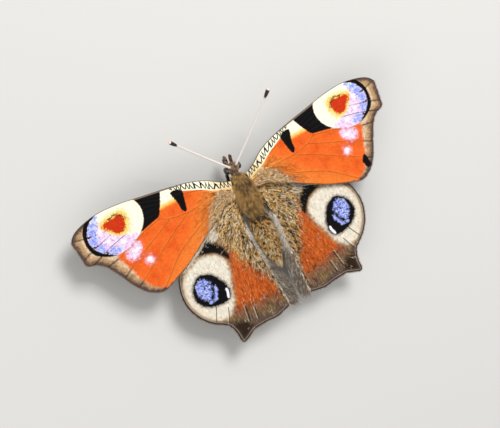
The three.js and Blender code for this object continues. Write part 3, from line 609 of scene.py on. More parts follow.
FORE_SPURS = [[(28.2, -2.6), (27.3, -2.45)], [(28.2, -0.6), (27.0, -0.55)], [(26.9, 1.6), (25.9, 1.2)]]
FORE_BASE = [(3.9, -2.5), (4.5, 0.4), (5.6, 1.6), (7.0, 2.8), (8.0, 4.2), (8.6, 5.6), (9.0, 7.5)]

# Markings of the hindwing, in the same forms
HIND_MARKS = {
    "field": [(7.3, 10.6), (8.4, 13.4), (9.4, 15.9), (10.3, 18.3), (10.8, 19.9), (10.4, 20.6), (8.6, 20.6),
              (7.0, 21.3), (5.1, 21.1), (3.0, 21.5), (3.1, 19.5), (4.0, 16.4), (5.2, 13.5), (6.3, 11.2)],
    "ring": [(10.0, 10.2), (12.0, 9.5), (14.2, 9.7), (16.6, 11.0), (17.9, 12.7), (18.4, 14.6), (18.35, 16.3),
             (17.7, 18.2), (16.6, 19.8), (15.1, 20.9), (13.3, 21.4), (11.6, 20.5), (10.4, 18.7), (9.7, 16.4),
             (8.9, 14.6), (8.6, 12.6), (9.0, 11.2)],
    "crescent": [(9.8, 7.0), (11.4, 8.3), (12.6, 9.0), (11.2, 9.5), (9.8, 10.1), (8.9, 11.1), (8.1, 12.3),
                 (7.7, 11.6), (7.9, 10.2), (8.7, 8.9), (9.5, 8.4)],
    "eye": [(14.5, 12.3), (15.6, 13.0), (16.5, 14.2), (16.6, 15.8), (15.9, 17.2), (14.6, 18.1), (12.6, 18.55),
            (11.2, 18.3), (10.55, 17.2), (10.7, 15.6), (11.4, 14.2), (12.3, 13.0), (13.4, 12.4)],
    "blue": [(14.5, 12.9), (15.6, 13.6), (15.9, 15.0), (15.4, 16.3), (14.6, 16.8), (13.8, 16.3), (13.2, 15.4),
             (13.0, 14.4), (13.6, 13.2)],
    "buff": [(7.0, 3.2), (9, 3.5), (14, 6.5), (17.0, 8.8), (16.4, 10.4), (14.4, 9.8), (11.5, 8.4), (9.4, 8.0),
             (8.2, 8.2), (7.4, 6.0)],
}
HIND_BASE = [(9.2, 3.0), (8.2, 8.0), (7.4, 10.4), (6.3, 13.4), (4.6, 16.6), (3.4, 18.0), (2.7, 20), (2.2, 23)]
HIND_GLINT = [(10.95, 16.6), (11.0, 17.2), (11.3, 18.0)]
HIND_TICKS = [[(14.0, 18.4), (15.5, 21.2)], [(12.2, 19.6), (13.4, 22.5)], [(9.4, 20.8), (9.9, 23.8)],
              [(8.0, 22.0), (8.3, 24.2)]]
HIND_BITS = [(12.5, 15.3), (12.9, 16.4), (13.4, 17.2), (14.4, 17.3)]
HIND_TAIL = (12.0, 25.2, 2.4)
PALE_TICK = (0.26, -0.1)    # from a vein's dark line to the pale one beside it


def thorax_girth(y):
    """Share of the full width: the sine of the share of the length, to a low power, and never under 0.42."""
    share = np.clip((y - THORAX["front"]) / (THORAX["back"] - THORAX["front"]), 0, 1)
    return np.maximum(np.abs(np.sin(np.pi * share)) ** 0.38, 0.42)


def thorax_side(y, z):
    """Half width at a height: the ellipse of the barrel's cross-section."""
    girth = thorax_girth(y)
    lift = (z - THORAX["level"]) / (THORAX["height"] / 2 * girth)
    return THORAX["width"] / 2 * girth * np.sqrt(np.maximum(1 - lift ** 2, 0))


def fore_lift(out, back, height):
    """The forewing slopes down with the distance out and rises by a half sine wave between root and tip."""
    level = WING_LEVEL - FORE_SLOPE * out + FORE_ARCH * np.sin(np.pi * out / FORE_SPAN)
    return np.stack([out, back, level + height], -1)


def hind_lift(out, back, height):
    """The hindwing slopes down a little with the distance out. Inside its fold line it follows an arc about
    the line and then runs straight down beside the abdomen, and it opens out flat behind it."""
    angle = FOLD_ANGLE * (1 - smooth(back, *FOLD_OPENS)) * smooth(back, *FOLD_BEGINS) + 0.001
    line = spline(FOLD_LINE, 12)
    arc = FOLD_RADIUS * angle
    start = np.interp(back, line[:, 1], line[:, 0]) + arc / 2
    along = start - out
    level = WING_LEVEL - HIND_DROP - HIND_SLOPE * np.maximum(out, start)
    bend = np.clip(along / FOLD_RADIUS, 0, angle)
    rest = np.maximum(along - arc, 0)
    reach = FOLD_RADIUS + height
    folded = along > 0
    return np.stack([
        np.where(folded, start - reach * np.sin(bend) - rest * np.cos(bend), out), back,
        level + height - np.where(folded, reach * (1 - np.cos(bend)) + rest * np.sin(bend), 0)], -1)


def sweep(points, angle, side):
    """Points turned about the vertical axis at the wing's root, and mirrored for the right wing."""
    turn = angle * side
    x, y, z = points.T
    return np.stack([side * (x * np.cos(turn) - y * np.sin(turn)), x * np.sin(turn) + y * np.cos(turn), z], 1)


# The corners of a wing are places in its margin: tip, tail and, if it has an inner margin, where that begins.
# The root is where the sheet meets the thorax, as distances back.
FORE = {
    "margin": FORE_MARGIN, "veins": FORE_VEINS, "corners": (10, 23, None),
    "root": [0.8, 1.4, 2.05, 2.65, 3.05], "lift": fore_lift, "sweep": -0.0102, "level": -0.1,
}
HIND = {
    "margin": HIND_MARGIN, "veins": HIND_VEINS, "corners": (6, 15, 24),
    "root": [3.6, 4.2, 4.9, 5.6, 6.3, 6.9], "lift": hind_lift, "sweep": 0.0105, "level": 0.1,
}


def wing_rim(wing):
    """The sheet's own outline, a little inside the wing's, and the ways that point into the wing from it."""
    rim = spline(wing["margin"], RIM_SPAN)
    ahead = unit(np.gradient(rim, axis=0))
    inward = np.stack([-ahead[:, 1], ahead[:, 0]], 1)
    inner = wing["corners"][2] or len(wing["margin"])
    inset = INSET + (INNER_INSET - INSET) * smooth(np.arange(len(rim)) / RIM_SPAN, inner - 1, inner)
    return rim + inset[:, None] * inward, inward


def wing_unwrap(wing, places, half=0):
    """Places on the bake's map: the wing laid flat, its top in the lower half and its underside in the
    upper one."""
    low, high = np.min(wing["margin"], 0) - 0.5, np.max(wing["margin"], 0) + 0.5
    return (places - low) / (high - low) * (0.98, 0.49) + (0.005, 0.005 + half * 0.5)


def wing_sides(wing):
    """The four sides of a wing's outline, each from the root or the front: front, rear, root and outer."""
    rim, _ = wing_rim(wing)
    level = WING_LEVEL - (HIND_DROP if wing is HIND else 0)
    backs = np.array(wing["root"])
    root = np.stack([thorax_side(backs, level) - ROOT_REACH, backs], 1)
    tip, tail, inner = (None if c is None else c * RIM_SPAN for c in wing["corners"])
    front = np.vstack([root[:1], rim[:tip + 1]])
    outer = rim[tip:tail + 1]
    if inner is None:
        return front, np.vstack([root[-1:], rim[tail:][::-1]]), root, outer
    return front, rim[tail:inner + 1][::-1], np.vstack([root, rim[inner:][::-1]]), outer


def wing_plan(wing, spacing):
    """A grid of places over the wing: the two blends between opposite sides added together, less the blend of
    the four corners."""
    front, rear, root, outer = wing_sides(wing)
    length = np.linalg.norm(np.diff(front, axis=0), axis=1).sum()
    width = np.linalg.norm(np.diff(outer, axis=0), axis=1).sum()
    columns, rows = int(length / spacing), int(width / spacing)
    f, r = evenly(front, columns)[None], evenly(rear, columns)[None]
    i, o = evenly(root, rows)[:, None], evenly(outer, rows)[:, None]
    s = np.linspace(0, 1, columns)[None, :, None]
    t = np.linspace(0, 1, rows)[:, None, None]
    corners = ((1 - s) * (1 - t) * f[:, :1] + s * (1 - t) * f[:, -1:]
               + (1 - s) * t * r[:, :1] + s * t * r[:, -1:])
    return (1 - t) * f + t * r + (1 - s) * i + s * o - corners


def vein_distance(wing, places):
    """Distance to the nearest vein."""
    return np.min([distance_to(places, spline(vein, 6)) for vein in wing["veins"]], 0)


def wing_relief(settings, near_vein, near_rim):
    """How far both faces sink between veins, and how far a vein stands out from each face."""
    pucker = -settings.pucker * smooth(near_vein, 0.1, 1.3) * smooth(near_rim, 0.0, 1.2)
    vein = np.exp(-(near_vein / settings.vein_width) ** 2) * smooth(near_rim, 0.0, 0.8)
    return pucker, settings.vein_rise * vein


def wing_point(wing, places, extra, side):
    """Places of a wing carried into the model, extra above its sheet's middle."""
    points = wing["lift"](places[:, 0], places[:, 1], wing["level"] + extra)
    return sweep(points, wing["sweep"], side)


def signed(places, line, inside):
    """Distance to a line, negative for the places said to be inside."""
    return np.where(inside, -1, 1) * distance_to(places, line)


def nearest(places, marks):
    """Distance to the nearest of some marks, each a round spot (out, back, radius) or a line."""
    return np.min([np.linalg.norm(places - mark[:2], axis=1) - mark[2] if np.ndim(mark) == 1
                   else distance_to(places, np.array(mark)) for mark in marks], 0)


def mark_fields(marks, base, places):
    """Distances to a wing's closed marks, and to the edge of its hairy base, negative on the root's side."""
    fields = {name: outside(places, spline(outline, 6, closed=True)) for name, outline in marks.items()}
    edge = spline(base, 6)
    rooted = places[:, 0] < np.interp(places[:, 1], edge[:, 1], edge[:, 0])
    fields["base"] = signed(places, edge, rooted)
    return fields


def fore_fields(places):
    """Distances that the forewing's markings are drawn from."""
    out, back = places.T
    fields = mark_fields(FORE_MARKS, FORE_BASE, places)
    fields["dots"] = nearest(places, FORE_DOTS)
    fields["violet"] = np.minimum(fields["violet"], nearest(places, FORE_DOTS[4:]) - 0.3)
    fields["blues"] = nearest(places, FORE_BLUES)
    fields["crescent"] = np.minimum(fields["crescent"], nearest(places, FORE_SPURS) - 0.16)
    fields["smudge"] = distance_to(places, spline(FORE_SMUDGE, 4)) - 0.16
    costa = spline(FORE_COSTA, 6)
    ahead = back < np.interp(out, costa[:, 0], costa[:, 1], left=9, right=-9)
    fields["costa"] = signed(places, costa, ahead)
    behind = back > np.interp(out, *np.array(FORE_VEINS[-1]).T)
    fields["rear"] = signed(places, spline(FORE_VEINS[-1], 6), behind)
    return fields


def hind_fields(places):
    """Distances that the hindwing's markings are drawn from."""
    out, back = places.T
    fields = mark_fields(HIND_MARKS, HIND_BASE, places)
    fields["glint"] = distance_to(places, spline(HIND_GLINT, 6)) - 0.22
    fields["bits"] = distance_to(places, np.array(HIND_BITS)) - 0.26
    fields["dark_ticks"] = nearest(places, HIND_TICKS)
    fields["pale_ticks"] = nearest(places, [np.array(line) + PALE_TICK for line in HIND_TICKS])
    fold = spline(FOLD_LINE, 8)
    fields["strip"] = out - np.interp(back, fold[:, 1], fold[:, 0]) - 0.25 + (
        1.2 * (1 - smooth(back, 7.0, 10.0)))
    fields["tail"] = nearest(places, [HIND_TAIL])
    return fields


def scale_cloth(looks, settings):
    """What both faces of a wing share: (place on the wing, jitter for mark edges, shade of each scale, its
    tint, height of the scales)."""
    place = looks.place("place")
    distance, shade, tint = looks.cells(place, 1 / settings.scale_size)
    soft = looks.noise(place, 1.4, 3.0)
    jitter = looks.sum("ADD", looks.sum("MULTIPLY_ADD", shade, 1.0, -0.5),
                       looks.sum("MULTIPLY_ADD", soft, 1.6, -0.8))
    grain = looks.noise(looks.stretch(place, (3.0, 9.0, 1.0)), 1.2, 2.0)
    height = looks.sum("MULTIPLY_ADD", distance, -0.7, looks.times(grain, 0.4))
    return place, jitter, shade, tint, height


def masker(looks, jitter):
    """A function that gives 1 inside a mark and 0 outside, its edge soft by some mm, ragged by some mm and
    grown outward by some mm."""
    def inside(name, soft=0.06, ragged=0.12, grow=0.0):
        value = looks.sum("MULTIPLY_ADD", jitter, ragged, looks.field(name))
        return looks.step(value, soft + grow, grow - soft)

    return inside


def finish_wing(looks, base, shade, height):
    """Scales vary in brightness, singly and in patches, and a wing is matt with a faint silky sheen."""
    patches = looks.sum("MULTIPLY_ADD", looks.noise(looks.place("place"), 1.6, 2.0), 0.36, 0.62)
    lightness = looks.sum("MULTIPLY_ADD", shade, 0.34, patches)
    grey = looks.node("ShaderNodeCombineColor", dict.fromkeys(range(3), lightness)).outputs[0]
    looks.relief(height, 0.00003)
    return looks.finish(looks.mix(1.0, base, grey, "MULTIPLY"), 0.62, Sheen_Weight=0.03,
                        Sheen_Roughness=0.4, Specular_IOR_Level=0.08)


def blotches(looks, place, tint, scale, detail=2.0):
    """A random value for each scale, partly its own and partly shared with its neighbours."""
    return looks.sum("ADD", looks.times(tint, 0.5), looks.noise(place, scale, detail))


def speckled(looks, place, tint, dark, middle, pale, amount):
    """Dark ground with golden and pale hair-scales mixed at random. More of it stays dark as amount rises."""
    pick = blotches(looks, place, tint, 2.6, 3.0)
    return looks.layers(dark, (looks.step(pick, amount + 0.2, amount + 0.3), middle),
                        (looks.step(pick, amount + 0.5, amount + 0.6), pale))


def forewing_upper():
    """An orange field with a cream patch and a barred front edge, black marks, and a spot in four colours."""
    s = bpy.context.scene.butterfly_wings
    looks = Looks("forewing upper")
    place, jitter, shade, tint, height = scale_cloth(looks, s)
    inside, step, times = masker(looks, jitter), looks.step, looks.times
    vein, rim, costa = (looks.field(name) for name in ("vein", "rim", "costa"))
    out, back = looks.node("ShaderNodeSeparateXYZ", {0: place}).outputs[:2]
    patchy = looks.noise(place, 0.5, 3.0)
    blotchy = blotches(looks, place, tint, 1.5)
    # orange field, golden at the root and behind the last vein
    base = looks.layers(
        s.red_orange,
        (step(patchy, 0.1, 0.65), s.orange),
        (inside("rear", 0.9, 0.8, 0.2), s.gold, 0.45),
        (inside("base", 2.4, 1.2, 2.2), s.gold, 0.85),
        (step(vein, 0.26, 0.16), s.gold, 0.25),
        (step(vein, 0.13, 0.05), s.rust, 0.6),
        (times(inside("base", 1.6, 1.2, 0.7), step(back, 3.6, 0.6)), s.yellow, 0.55),
        (inside("base", 0.9, 1.0, -0.7), speckled(looks, place, tint, s.olive, s.straw, s.yellow, 0.2)))
    # margin band, palest next to the field and darker towards the edge, crossed by a thin line at each vein
    edge = looks.sum("ADD", rim, times(jitter, 0.45))
    band = looks.layers(
        s.tan,
        (step(edge, 0.95, 0.25), s.dusk),
        (step(patchy, 0.5, 0.68), s.dusk, 0.5),
        (step(edge, 1.15, 1.6), s.sand, 0.8),
        (step(vein, 0.3, 0.1), s.dusk, 0.5),
        (step(vein, 0.12, 0.04), s.black, 0.8))
    # cream patch that turns yellow and then orange towards the rear
    turning = looks.sum("MULTIPLY_ADD", jitter, 0.25, back)
    patch = looks.layers(s.cream, (step(turning, -2.0, -1.3), s.yellow),
                         (step(turning, -1.35, -0.75), s.orange))
    base = looks.layers(
        base,
        (looks.sum("SUBTRACT", 1.0, inside("field", 0.25, 0.4)), band),
        (inside("nick", 0.06, 0.15), s.black),
        (inside("patch", 0.15, 0.15), patch))
    # cream costa with slanting bars, straw at the root, and dusky in front of the black bar
    phase = looks.sum("MULTIPLY_ADD", looks.noise(place, 0.45, 1.0), 1.7, times(out, 1.3))
    slant = looks.sum("SUBTRACT", looks.sum("PINGPONG", phase, 0.5), times(costa, -0.42))
    bar = looks.sum("MULTIPLY_ADD", jitter, 0.02, looks.sum("ABSOLUTE", slant))
    pale = looks.layers(s.cream, (step(out, 6.5, 3.0), s.straw, 0.5))
    near = looks.sum("ABSOLUTE", looks.sum("ADD", costa, 0.12))
    bars = looks.layers(
        pale,
        (step(bar, 0.155, 0.1), s.black),
        (step(near, 0.16, 0.08), pale),
        (step(rim, 0.14, 0.05), s.black),
        (step(out, 12.3, 13.1), looks.mix(step(rim, 0.5, 0.3), base, s.dusk)))
    # spot: cream, yellow round its red heart, lilac behind, blue patches within the black crescent
    pink = looks.mix(step(blotchy, 0.52, 0.85), s.lilac, s.mauve)
    azure = looks.mix(step(blotchy, 0.6, 0.88), s.blue, s.sky)
    spot = looks.layers(
        s.cream,
        (inside("heart", 0.55, 0.4, 0.7), s.yellow),
        (inside("lilac", 0.3, 0.3), pink),
        (inside("blues", 0.35, 0.7, 0.05), azure),
        (times(inside("lilac", 0.2, 0.2), step(vein, 0.11, 0.04)), s.black, 0.75),
        (inside("heart", 0.12, 0.45), s.heart),
        (inside("smudge", 0.16, 0.3), s.soot, 0.85),
        (inside("crescent", 0.06, 0.16), s.black))
    # all of these over the field, with a dun edge in front of the bar and a thin dark line at the very front
    ahead = times(step(rim, 0.3, 0.2), step(back, -2.6, -3.6))
    base = looks.layers(
        base,
        (inside("costa", 0.05, 0.05), bars),
        (inside("bar", 0.06, 0.14), s.black),
        (inside("tooth", 0.06, 0.14), s.black),
        (times(ahead, step(out, 20.0, 17.5)), s.dun),
        (inside("spot", 0.06, 0.12), spot),
        (inside("violet", 0.3, 0.8), pink),
        (inside("dots", 0.2, 0.4), (1, 0.98, 0.98)),
        (times(step(rim, 0.13, 0.04), step(back, -2.0, -4.0)), s.dusk))
    return finish_wing(looks, base, shade, height)


def hindwing_upper():
    """An olive margin round a rusty field, a hairy front and inner strip, and a ringed eye with blue."""
    s = bpy.context.scene.butterfly_wings
    looks = Looks("hindwing upper")
    place, jitter, shade, tint, height = scale_cloth(looks, s)
    inside, step = masker(looks, jitter), looks.step
    rim, dark_ticks, pale_ticks = (looks.field(name) for name in ("rim", "dark_ticks", "pale_ticks"))
    back = looks.node("ShaderNodeSeparateXYZ", {0: place}).outputs[1]
    patchy = looks.noise(place, 0.6, 3.0)
    speck = blotches(looks, place, tint, 2.4)
    streaks = looks.noise(looks.stretch(place, (5.0, 0.9, 1.0)), 1.0, 2.0)
    olive = looks.layers(
        s.olive,
        (step(patchy, 0.4, 0.7), s.dusk),
        (step(streaks, 0.5, 0.62), s.tan, 0.4),
        (step(rim, 1.7, 0.4), s.dusk, 0.7),
        (inside("tail", 0.6, 0.5), s.soot),
        (inside("field", 1.2, 0.8, 1.2), s.rust, 0.5))
    orange = looks.layers(
        s.rust,
        (step(streaks, 0.3, 0.6), s.ember),
        (step(streaks, 0.58, 0.66), s.gold, 0.3),
        (step(streaks, 0.42, 0.34), s.soot, 0.4))
    ring = looks.layers(s.ring, (step(streaks, 0.55, 0.4), s.ash, 0.3), (step(rim, 1.8, 0.5), s.sand, 0.5))
    blues = looks.layers(s.black, (step(speck, 0.56, 0.68), s.blue), (step(speck, 0.74, 0.88), s.sky))
    rear = looks.mix(step(streaks, 0.38, 0.6), s.dun, s.buff)
    strip = looks.layers(s.buff, (step(streaks, 0.3, 0.6), s.pearl), (step(back, *STRIP_REAR), rear))
    base = looks.layers(
        olive,
        (inside("field", 0.5, 0.9), orange),
        (inside("buff", 0.4, 0.4), speckled(looks, place, tint, s.dun, s.buff, s.pearl, 0.1)),
        # cream ring with fuzzy brown edges, and the black crescent in front of it
        (inside("ring", 0.5, 0.5, 0.25), s.tan, 0.75),
        (inside("ring", 0.3, 0.6, -0.2), ring),
        (inside("crescent", 0.22, 0.35), s.black),
        # eye: black, with blue scales, and small blue bits before a pale glint
        (inside("eye", 0.28, 0.3, 0.25), s.dusk, 0.75),
        (inside("eye", 0.08, 0.25), s.black),
        (inside("blue", 0.12, 0.5), blues),
        (inside("bits", 0.08, 0.4), looks.mix(tint, s.blue, s.sky)),
        (inside("glint", 0.05, 0.1), (0.95, 0.9, 1.0)),
        # a pale and a dark line at each of the rear veins
        (step(pale_ticks, 0.13, 0.04), s.ring, 0.35),
        (step(dark_ticks, 0.14, 0.05), s.soot, 0.85),
        # outer edge: dark, then a fine pale line and a dark one
        (step(rim, 0.85, 0.35), s.dusk, 0.65),
        (step(rim, 0.42, 0.3), s.ash, 0.4),
        (step(rim, 0.26, 0.16), s.soot),
        # hair-scales over the base, and the grey inner strip
        (inside("base", 1.0, 1.4, -0.2), speckled(looks, place, tint, s.soot, s.straw, s.ring, 0.45)),
        (inside("strip", 0.12, 0.2, 0.08), s.soot, 0.75),
        (inside("strip", 0.12, 0.25, -0.1), strip))
    return finish_wing(looks, base, shade, height)


def wing_under():
    """Near-black brown beneath, with fine wavy lines across the wing and paler bands."""
    s = bpy.context.scene.butterfly_wings
    looks = Looks("wing underside")
    place, _, shade, _, height = scale_cloth(looks, s)
    waves = looks.node("ShaderNodeTexWave", {
        "Vector": place, "Scale": 0.55, "Distortion": 9.0, "Detail": 3.0, "Detail Scale": 1.6}).outputs["Fac"]
    broad = looks.noise(place, 0.22, 3.0)
    base = looks.layers(s.under, (looks.step(waves, 0.62, 0.9), s.dusk, 0.6),
                        (looks.step(broad, 0.52, 0.7), s.dusk, 0.5))
    return finish_wing(looks, base, shade, height)


def add_wing(name, wing, fields, upper, under):
    """A wing sheet on each side of the body, closed along its rim. Only the right one has a nick."""
    s = bpy.context.scene.butterfly_wings
    plan = wing_plan(wing, s.spacing)
    rows, columns = plan.shape[:2]
    places = plan.reshape(-1, 2)
    front, rear, root, outer = wing_sides(wing)
    edges = [evenly(line, 90) for line in (front[1:], rear[1:], outer)]
    if wing is HIND:
        edges.append(evenly(root[len(wing["root"]):], 60))
    near_vein, near_rim = vein_distance(wing, places), nearest(places, edges)
    pucker, vein = wing_relief(s, near_vein, near_rim)
    values = {**fields(places), "vein": near_vein, "rim": near_rim, "place": np.pad(places, ((0, 0), (0, 1)))}
    values = {key: np.concatenate([v, v]) for key, v in values.items()}
    count = len(places)
    top = grid_triangles(rows, columns)
    index = np.arange(count).reshape(rows, columns)
    edge = np.concatenate([index[0, :-1], index[:-1, -1], index[-1, :0:-1], index[:0:-1, 0]])
    following = np.roll(edge, -1)
    rim = np.concatenate([np.stack([edge, edge + count, following + count], 1),
                          np.stack([edge, following + count, following], 1)])
    triangles = np.concatenate([top, top[:, ::-1] + count, rim])
    face_looks = np.concatenate([np.zeros(len(top)), np.ones(len(top) + len(rim))])
    unwrap = np.concatenate([wing_unwrap(wing, places), wing_unwrap(wing, places, 1)])
    for suffix, side in SIDES.items():
        points = np.vstack([wing_point(wing, places, face * (s.thickness / 2 + vein) + pucker, side)
                            for face in (1, -1)])
        own = dict(values)
        if side == 1 and "nick" in own:
            own["nick"] = np.full(2 * count, FAR)
        add_piece(f"{name}_{suffix}_sheet", (points, triangles), [upper, under],
                  [f"{name}_{suffix}"], own, unwrap, face_looks)


def hair_looks(name, dark, middle, pale):
    """Hairs of a wing: of three colours mixed over the base, grey and farther back dun on the inner strip,
    warm on the orange field, and brown in the fringe. The fields grey, rear, warm and fringe tell which."""
    s = bpy.context.scene.butterfly_wings
    looks = Looks(name)
    step, shade = looks.step, looks.field("shade")
    warm = looks.mix(step(shade, 0.3, 0.7), s.ember, s.gold)
    dun = looks.mix(step(shade, 0.55, 0.95), s.dun, s.buff)
    grey = looks.layers(s.ash, (step(shade, 0.05, 0.3), s.pearl), (looks.field("rear"), dun))
    base = looks.layers(
        dark,
        (step(shade, 0.42, 0.48), middle),
        (step(shade, 0.72, 0.78), pale),
        (looks.field("warm"), warm),
        (looks.field("grey"), grey),
        (looks.field("fringe"), looks.mix(shade, s.dusk, s.tan)))
    base = looks.mix(step(looks.field("along"), 0.5, 0.0), base, looks.mix(0.3, base, s.soot))
    return looks.finish(base, 0.55, Specular_IOR_Level=0.2)


def hind_rear(places):
    """0 over the front of the hindwing's inner strip and 1 over its rear, where its hair is dun."""
    return smooth(places[:, 1], *STRIP_REAR)


def add_wing_hair(name, wing, zones, material, seed):
    """Hair lying over a wing on each side of the body. zones gives, for places, the weight, plan way, length,
    lift off the wing, the fields grey and warm, and how much lighter than elsewhere its hair is."""
    s = bpy.context.scene.butterfly_wings
    plan = wing_plan(wing, HAIR_GRID)
    weight = zones(plan.reshape(-1, 2))["weight"].reshape(plan.shape[:2])
    plan = np.pad(plan, ((0, 0), (0, 0), (0, 1)))
    count = s.wing_hairs if wing is HIND else s.wing_hairs // 2
    for suffix, side in SIDES.items():
        rng = np.random.default_rng(seed + side)
        places = scatter(plan, [], count, rng, weight)[0][:, :2]
        zone = zones(places)
        for kind in ("grey", "warm"):
            zone[kind] = (rng.random(count) < zone[kind]).astype(float)
        turned = unit(zone["way"] + rng.normal(0, 0.16, places.shape))
        long = zone["length"] * (0.7 + 0.6 * rng.random(count))
        long *= 1 + 1.2 * zone["grey"] * (rng.random(count) > 0.93)
        rise, flat = np.sin(zone["lift"]), np.cos(zone["lift"])
        roots = wing_point(wing, places, s.thickness / 2 - 0.02, side)
        tips = wing_point(wing, places + turned * (long * flat)[:, None], s.thickness / 2 + long * rise, side)
        lengths = np.linalg.norm(tips - roots, axis=1)
        ways = unit(tips - roots)
        above = unit(wing_point(wing, places, 1.0, side) - roots) * rise[:, None]
        bend, shade = clumped(roots, ways + 0.3 * above, -0.35 * above, lengths, rng, count // 3, 0.3, 0.92)
        shade = zone["light"] + (1 - zone["light"]) * shade
        radii = HAIR_RADIUS * (0.7 + 0.6 * rng.random(count))
        fields = {"grey": zone["grey"], "warm": zone["warm"], "rear": hind_rear(places),
                  "fringe": np.zeros(count)}
        add_coat(f"{name}_{suffix}_hair", roots, ways, bend, lengths, radii, wing_unwrap(wing, places),
                 material, shade, fields)


def fore_zones(places):
    """Pale hair over the forewing's base, thinning out along the field, none on the barred costa."""
    fields = fore_fields(places)
    base = 1 - smooth(fields["base"], -2.4, 0.8)
    thin = 1 - smooth(fields["base"], 0.0, 3.0)
    rear = smooth(places[:, 1], 4.0, 6.5) * smooth(places[:, 0], 4.0, 7.0)
    return {
        "weight": (base + 0.12 * thin) * smooth(fields["costa"], 0.05, 0.3),
        "way": unit(places - (0.6, 1.9)),
        "length": 0.5 + 0.35 * base,
        "lift": 0.14 + 0.1 * base,
        "grey": 0.08 * rear,
        "warm": 0.15 + 0.85 * smooth(fields["base"], -0.8, 0.4),
        "light": 0.2,
    }


def hind_zones(places):
    """Hair over the hindwing's base, streaming back over the orange field, and long on the inner strip."""
    fields = hind_fields(places)

    def within(name, low, high):
        return 1 - smooth(fields[name], low, high)

    base, strip = within("base", -1.5, 1.0), within("strip", -0.3, 0.0)
    field, buff = within("field", -0.6, 0.3), within("buff", -0.8, 0.2)
    clear = 1 - 0.9 * within("ring", -0.3, 0.8) * (1 - buff)
    radial = unit(places - (0.8, 2.6))
    inward = np.array([-0.45, 0.9])
    beside = strip * (1 - smooth(places[:, 1], 14, 17))
    weight = (base + 0.25 * field + 2.2 * strip + 0.8 * buff + 0.07) * smooth(fields["eye"], 0.3, 0.9) * clear
    return {
        "weight": weight * (0.25 + 0.75 * smooth(fields["crescent"], -0.3, 0.3)),
        "way": unit(radial + strip[:, None] * (inward - radial)),
        "length": 0.45 + 0.15 * base + 0.15 * strip + 0.25 * beside + 0.5 * buff * (1 - strip),
        "lift": 0.1 + 0.14 * base + 0.15 * strip + 0.55 * beside,
        "grey": np.clip(strip + 0.6 * buff, 0, 1),
        "warm": 0.75 * field * (1 - base),
        "light": 0.15 * (1 - smooth(places[:, 1], 5, 9)),
    }


def add_fringe(name, wing, material, seed):
    """Short hair-scales round a wing's outer and rear edges, long and pale on the hindwing's inner edge."""
    rim, inward = wing_rim(wing)
    tip = wing["corners"][0] * RIM_SPAN
    travelled = travel(rim[tip:])
    count = int(travelled[-1] / FRINGE_STEP)
    for suffix, side in SIDES.items():
        rng = np.random.default_rng(seed + side)
        at = rng.random(count) * travelled[-1]
        place, into = (np.stack([np.interp(at, travelled, line[tip:, k]) for k in (0, 1)], 1)
                       for line in (rim, inward))
        inner = np.zeros(count)
        if wing is HIND:
            turn = np.interp(wing["corners"][2] * RIM_SPAN - tip, np.arange(len(travelled)), travelled)
            inner = smooth(at, turn, travelled[-1] * 0.85)
        grey = np.minimum(inner * 3, 1)
        long = (0.2 + 0.1 * rng.random(count)) * (1 + 0.8 * grey)
        turned = unit(-unit(into) + rng.normal(0, 0.12, into.shape) + inner[:, None] * (0, 0.8))
        level = rng.uniform(-0.04, 0.04, count)
        roots = wing_point(wing, place + 0.04 * into, level, side)
        reach = wing_point(wing, place + turned * long[:, None], level, side) - roots
        fields = {"grey": grey, "warm": 0 * grey, "rear": hind_rear(place), "fringe": 1 - grey}
        add_coat(f"{name}_{suffix}_fringe", roots, unit(reach), np.zeros((count, 3)),
                 np.linalg.norm(reach, axis=1), np.full(count, HAIR_RADIUS), wing_unwrap(wing, place),
                 material, rng.random(count), fields)


def add_wings(name, wing, fields, upper, zones, colours, seed):
    """Sheets, hair and fringe of one pair of wings, the fringe drawn from a seed of its own."""
    add_wing(name, wing, fields, upper(), wing_under())
    hair = hair_looks(f"{name} hair", *colours)
    add_wing_hair(name, wing, zones, hair, seed)
    add_fringe(name, wing, hair, seed + 10)


# Body

ABDOMEN = {"front": 8.08, "back": 18.2, "level_front": 5.05, "level_back": 4.4, "rings": 8, "broad": 0.95}
ABDOMEN_GIRTH = [(0, 1.2), (0.1, 1.55), (0.3, 1.76), (0.5, 1.78), (0.7, 1.52), (0.88, 0.98), (1, 0.42)]
HEAD_CENTRE = np.array([0, -1.2, 5.15])
HEAD_PARTS = [((0, -1.2, 5.15), (1.2, 0.95, 1.05)), ((0, -1.82, 5.2), (0.5, 0.5, 0.78)),
              ((0, -0.3, 5.15), (0.72, 0.85, 0.72))]
EYE = {"centre": np.array([1.2, -1.3, 5.2]), "size": np.array([0.46, 0.68, 0.78])}
TEGULA = {"back": 1.75, "length": 1.0, "turn": 0.68, "width": 0.36, "rise": 0.12}
FEELER = {"root": (0.46, -1.52, 6.02), "tip": (9.7, -11.2, 13.4), "shaft": 0.18, "club": 0.34,
          "club_share": 0.13, "segments": 42}
PALP = [(0.52, -1.75, 4.42), (0.58, -2.43, 4.57), (0.63, -2.93, 4.69), (0.6, -3.28, 5.1), (0.4, -3.58, 5.8)]
TONGUE = {"centre": (0, -2.79, 3.46), "radius": 0.14, "inner": 0.26, "pitch": 0.47, "turns": 1.5}
MID_LEG = [(0.9, 3.1, 4.2), (1.02, 3.08, 3.1), (1.7, 2.85, 2.3), (5.1, 1.4, 3.5), (7.0, 0.6, 0.8),
           (7.86, 0.24, 0.2), (8.98, -0.24, 0.19), (10.3, -0.8, 0.19)]
HIND_LEG = [(0.9, 5.3, 4.2), (1.02, 5.38, 3.1), (1.65, 5.75, 2.3), (4.3, 9.0, 3.2), (5.6, 12.0, 0.8),
            (5.99, 12.94, 0.2), (6.5, 14.16, 0.19), (7.1, 15.6, 0.19)]
LEG_RADII = [0.4, 0.38, 0.29, 0.25, 0.19, 0.17, 0.17, 0.12]
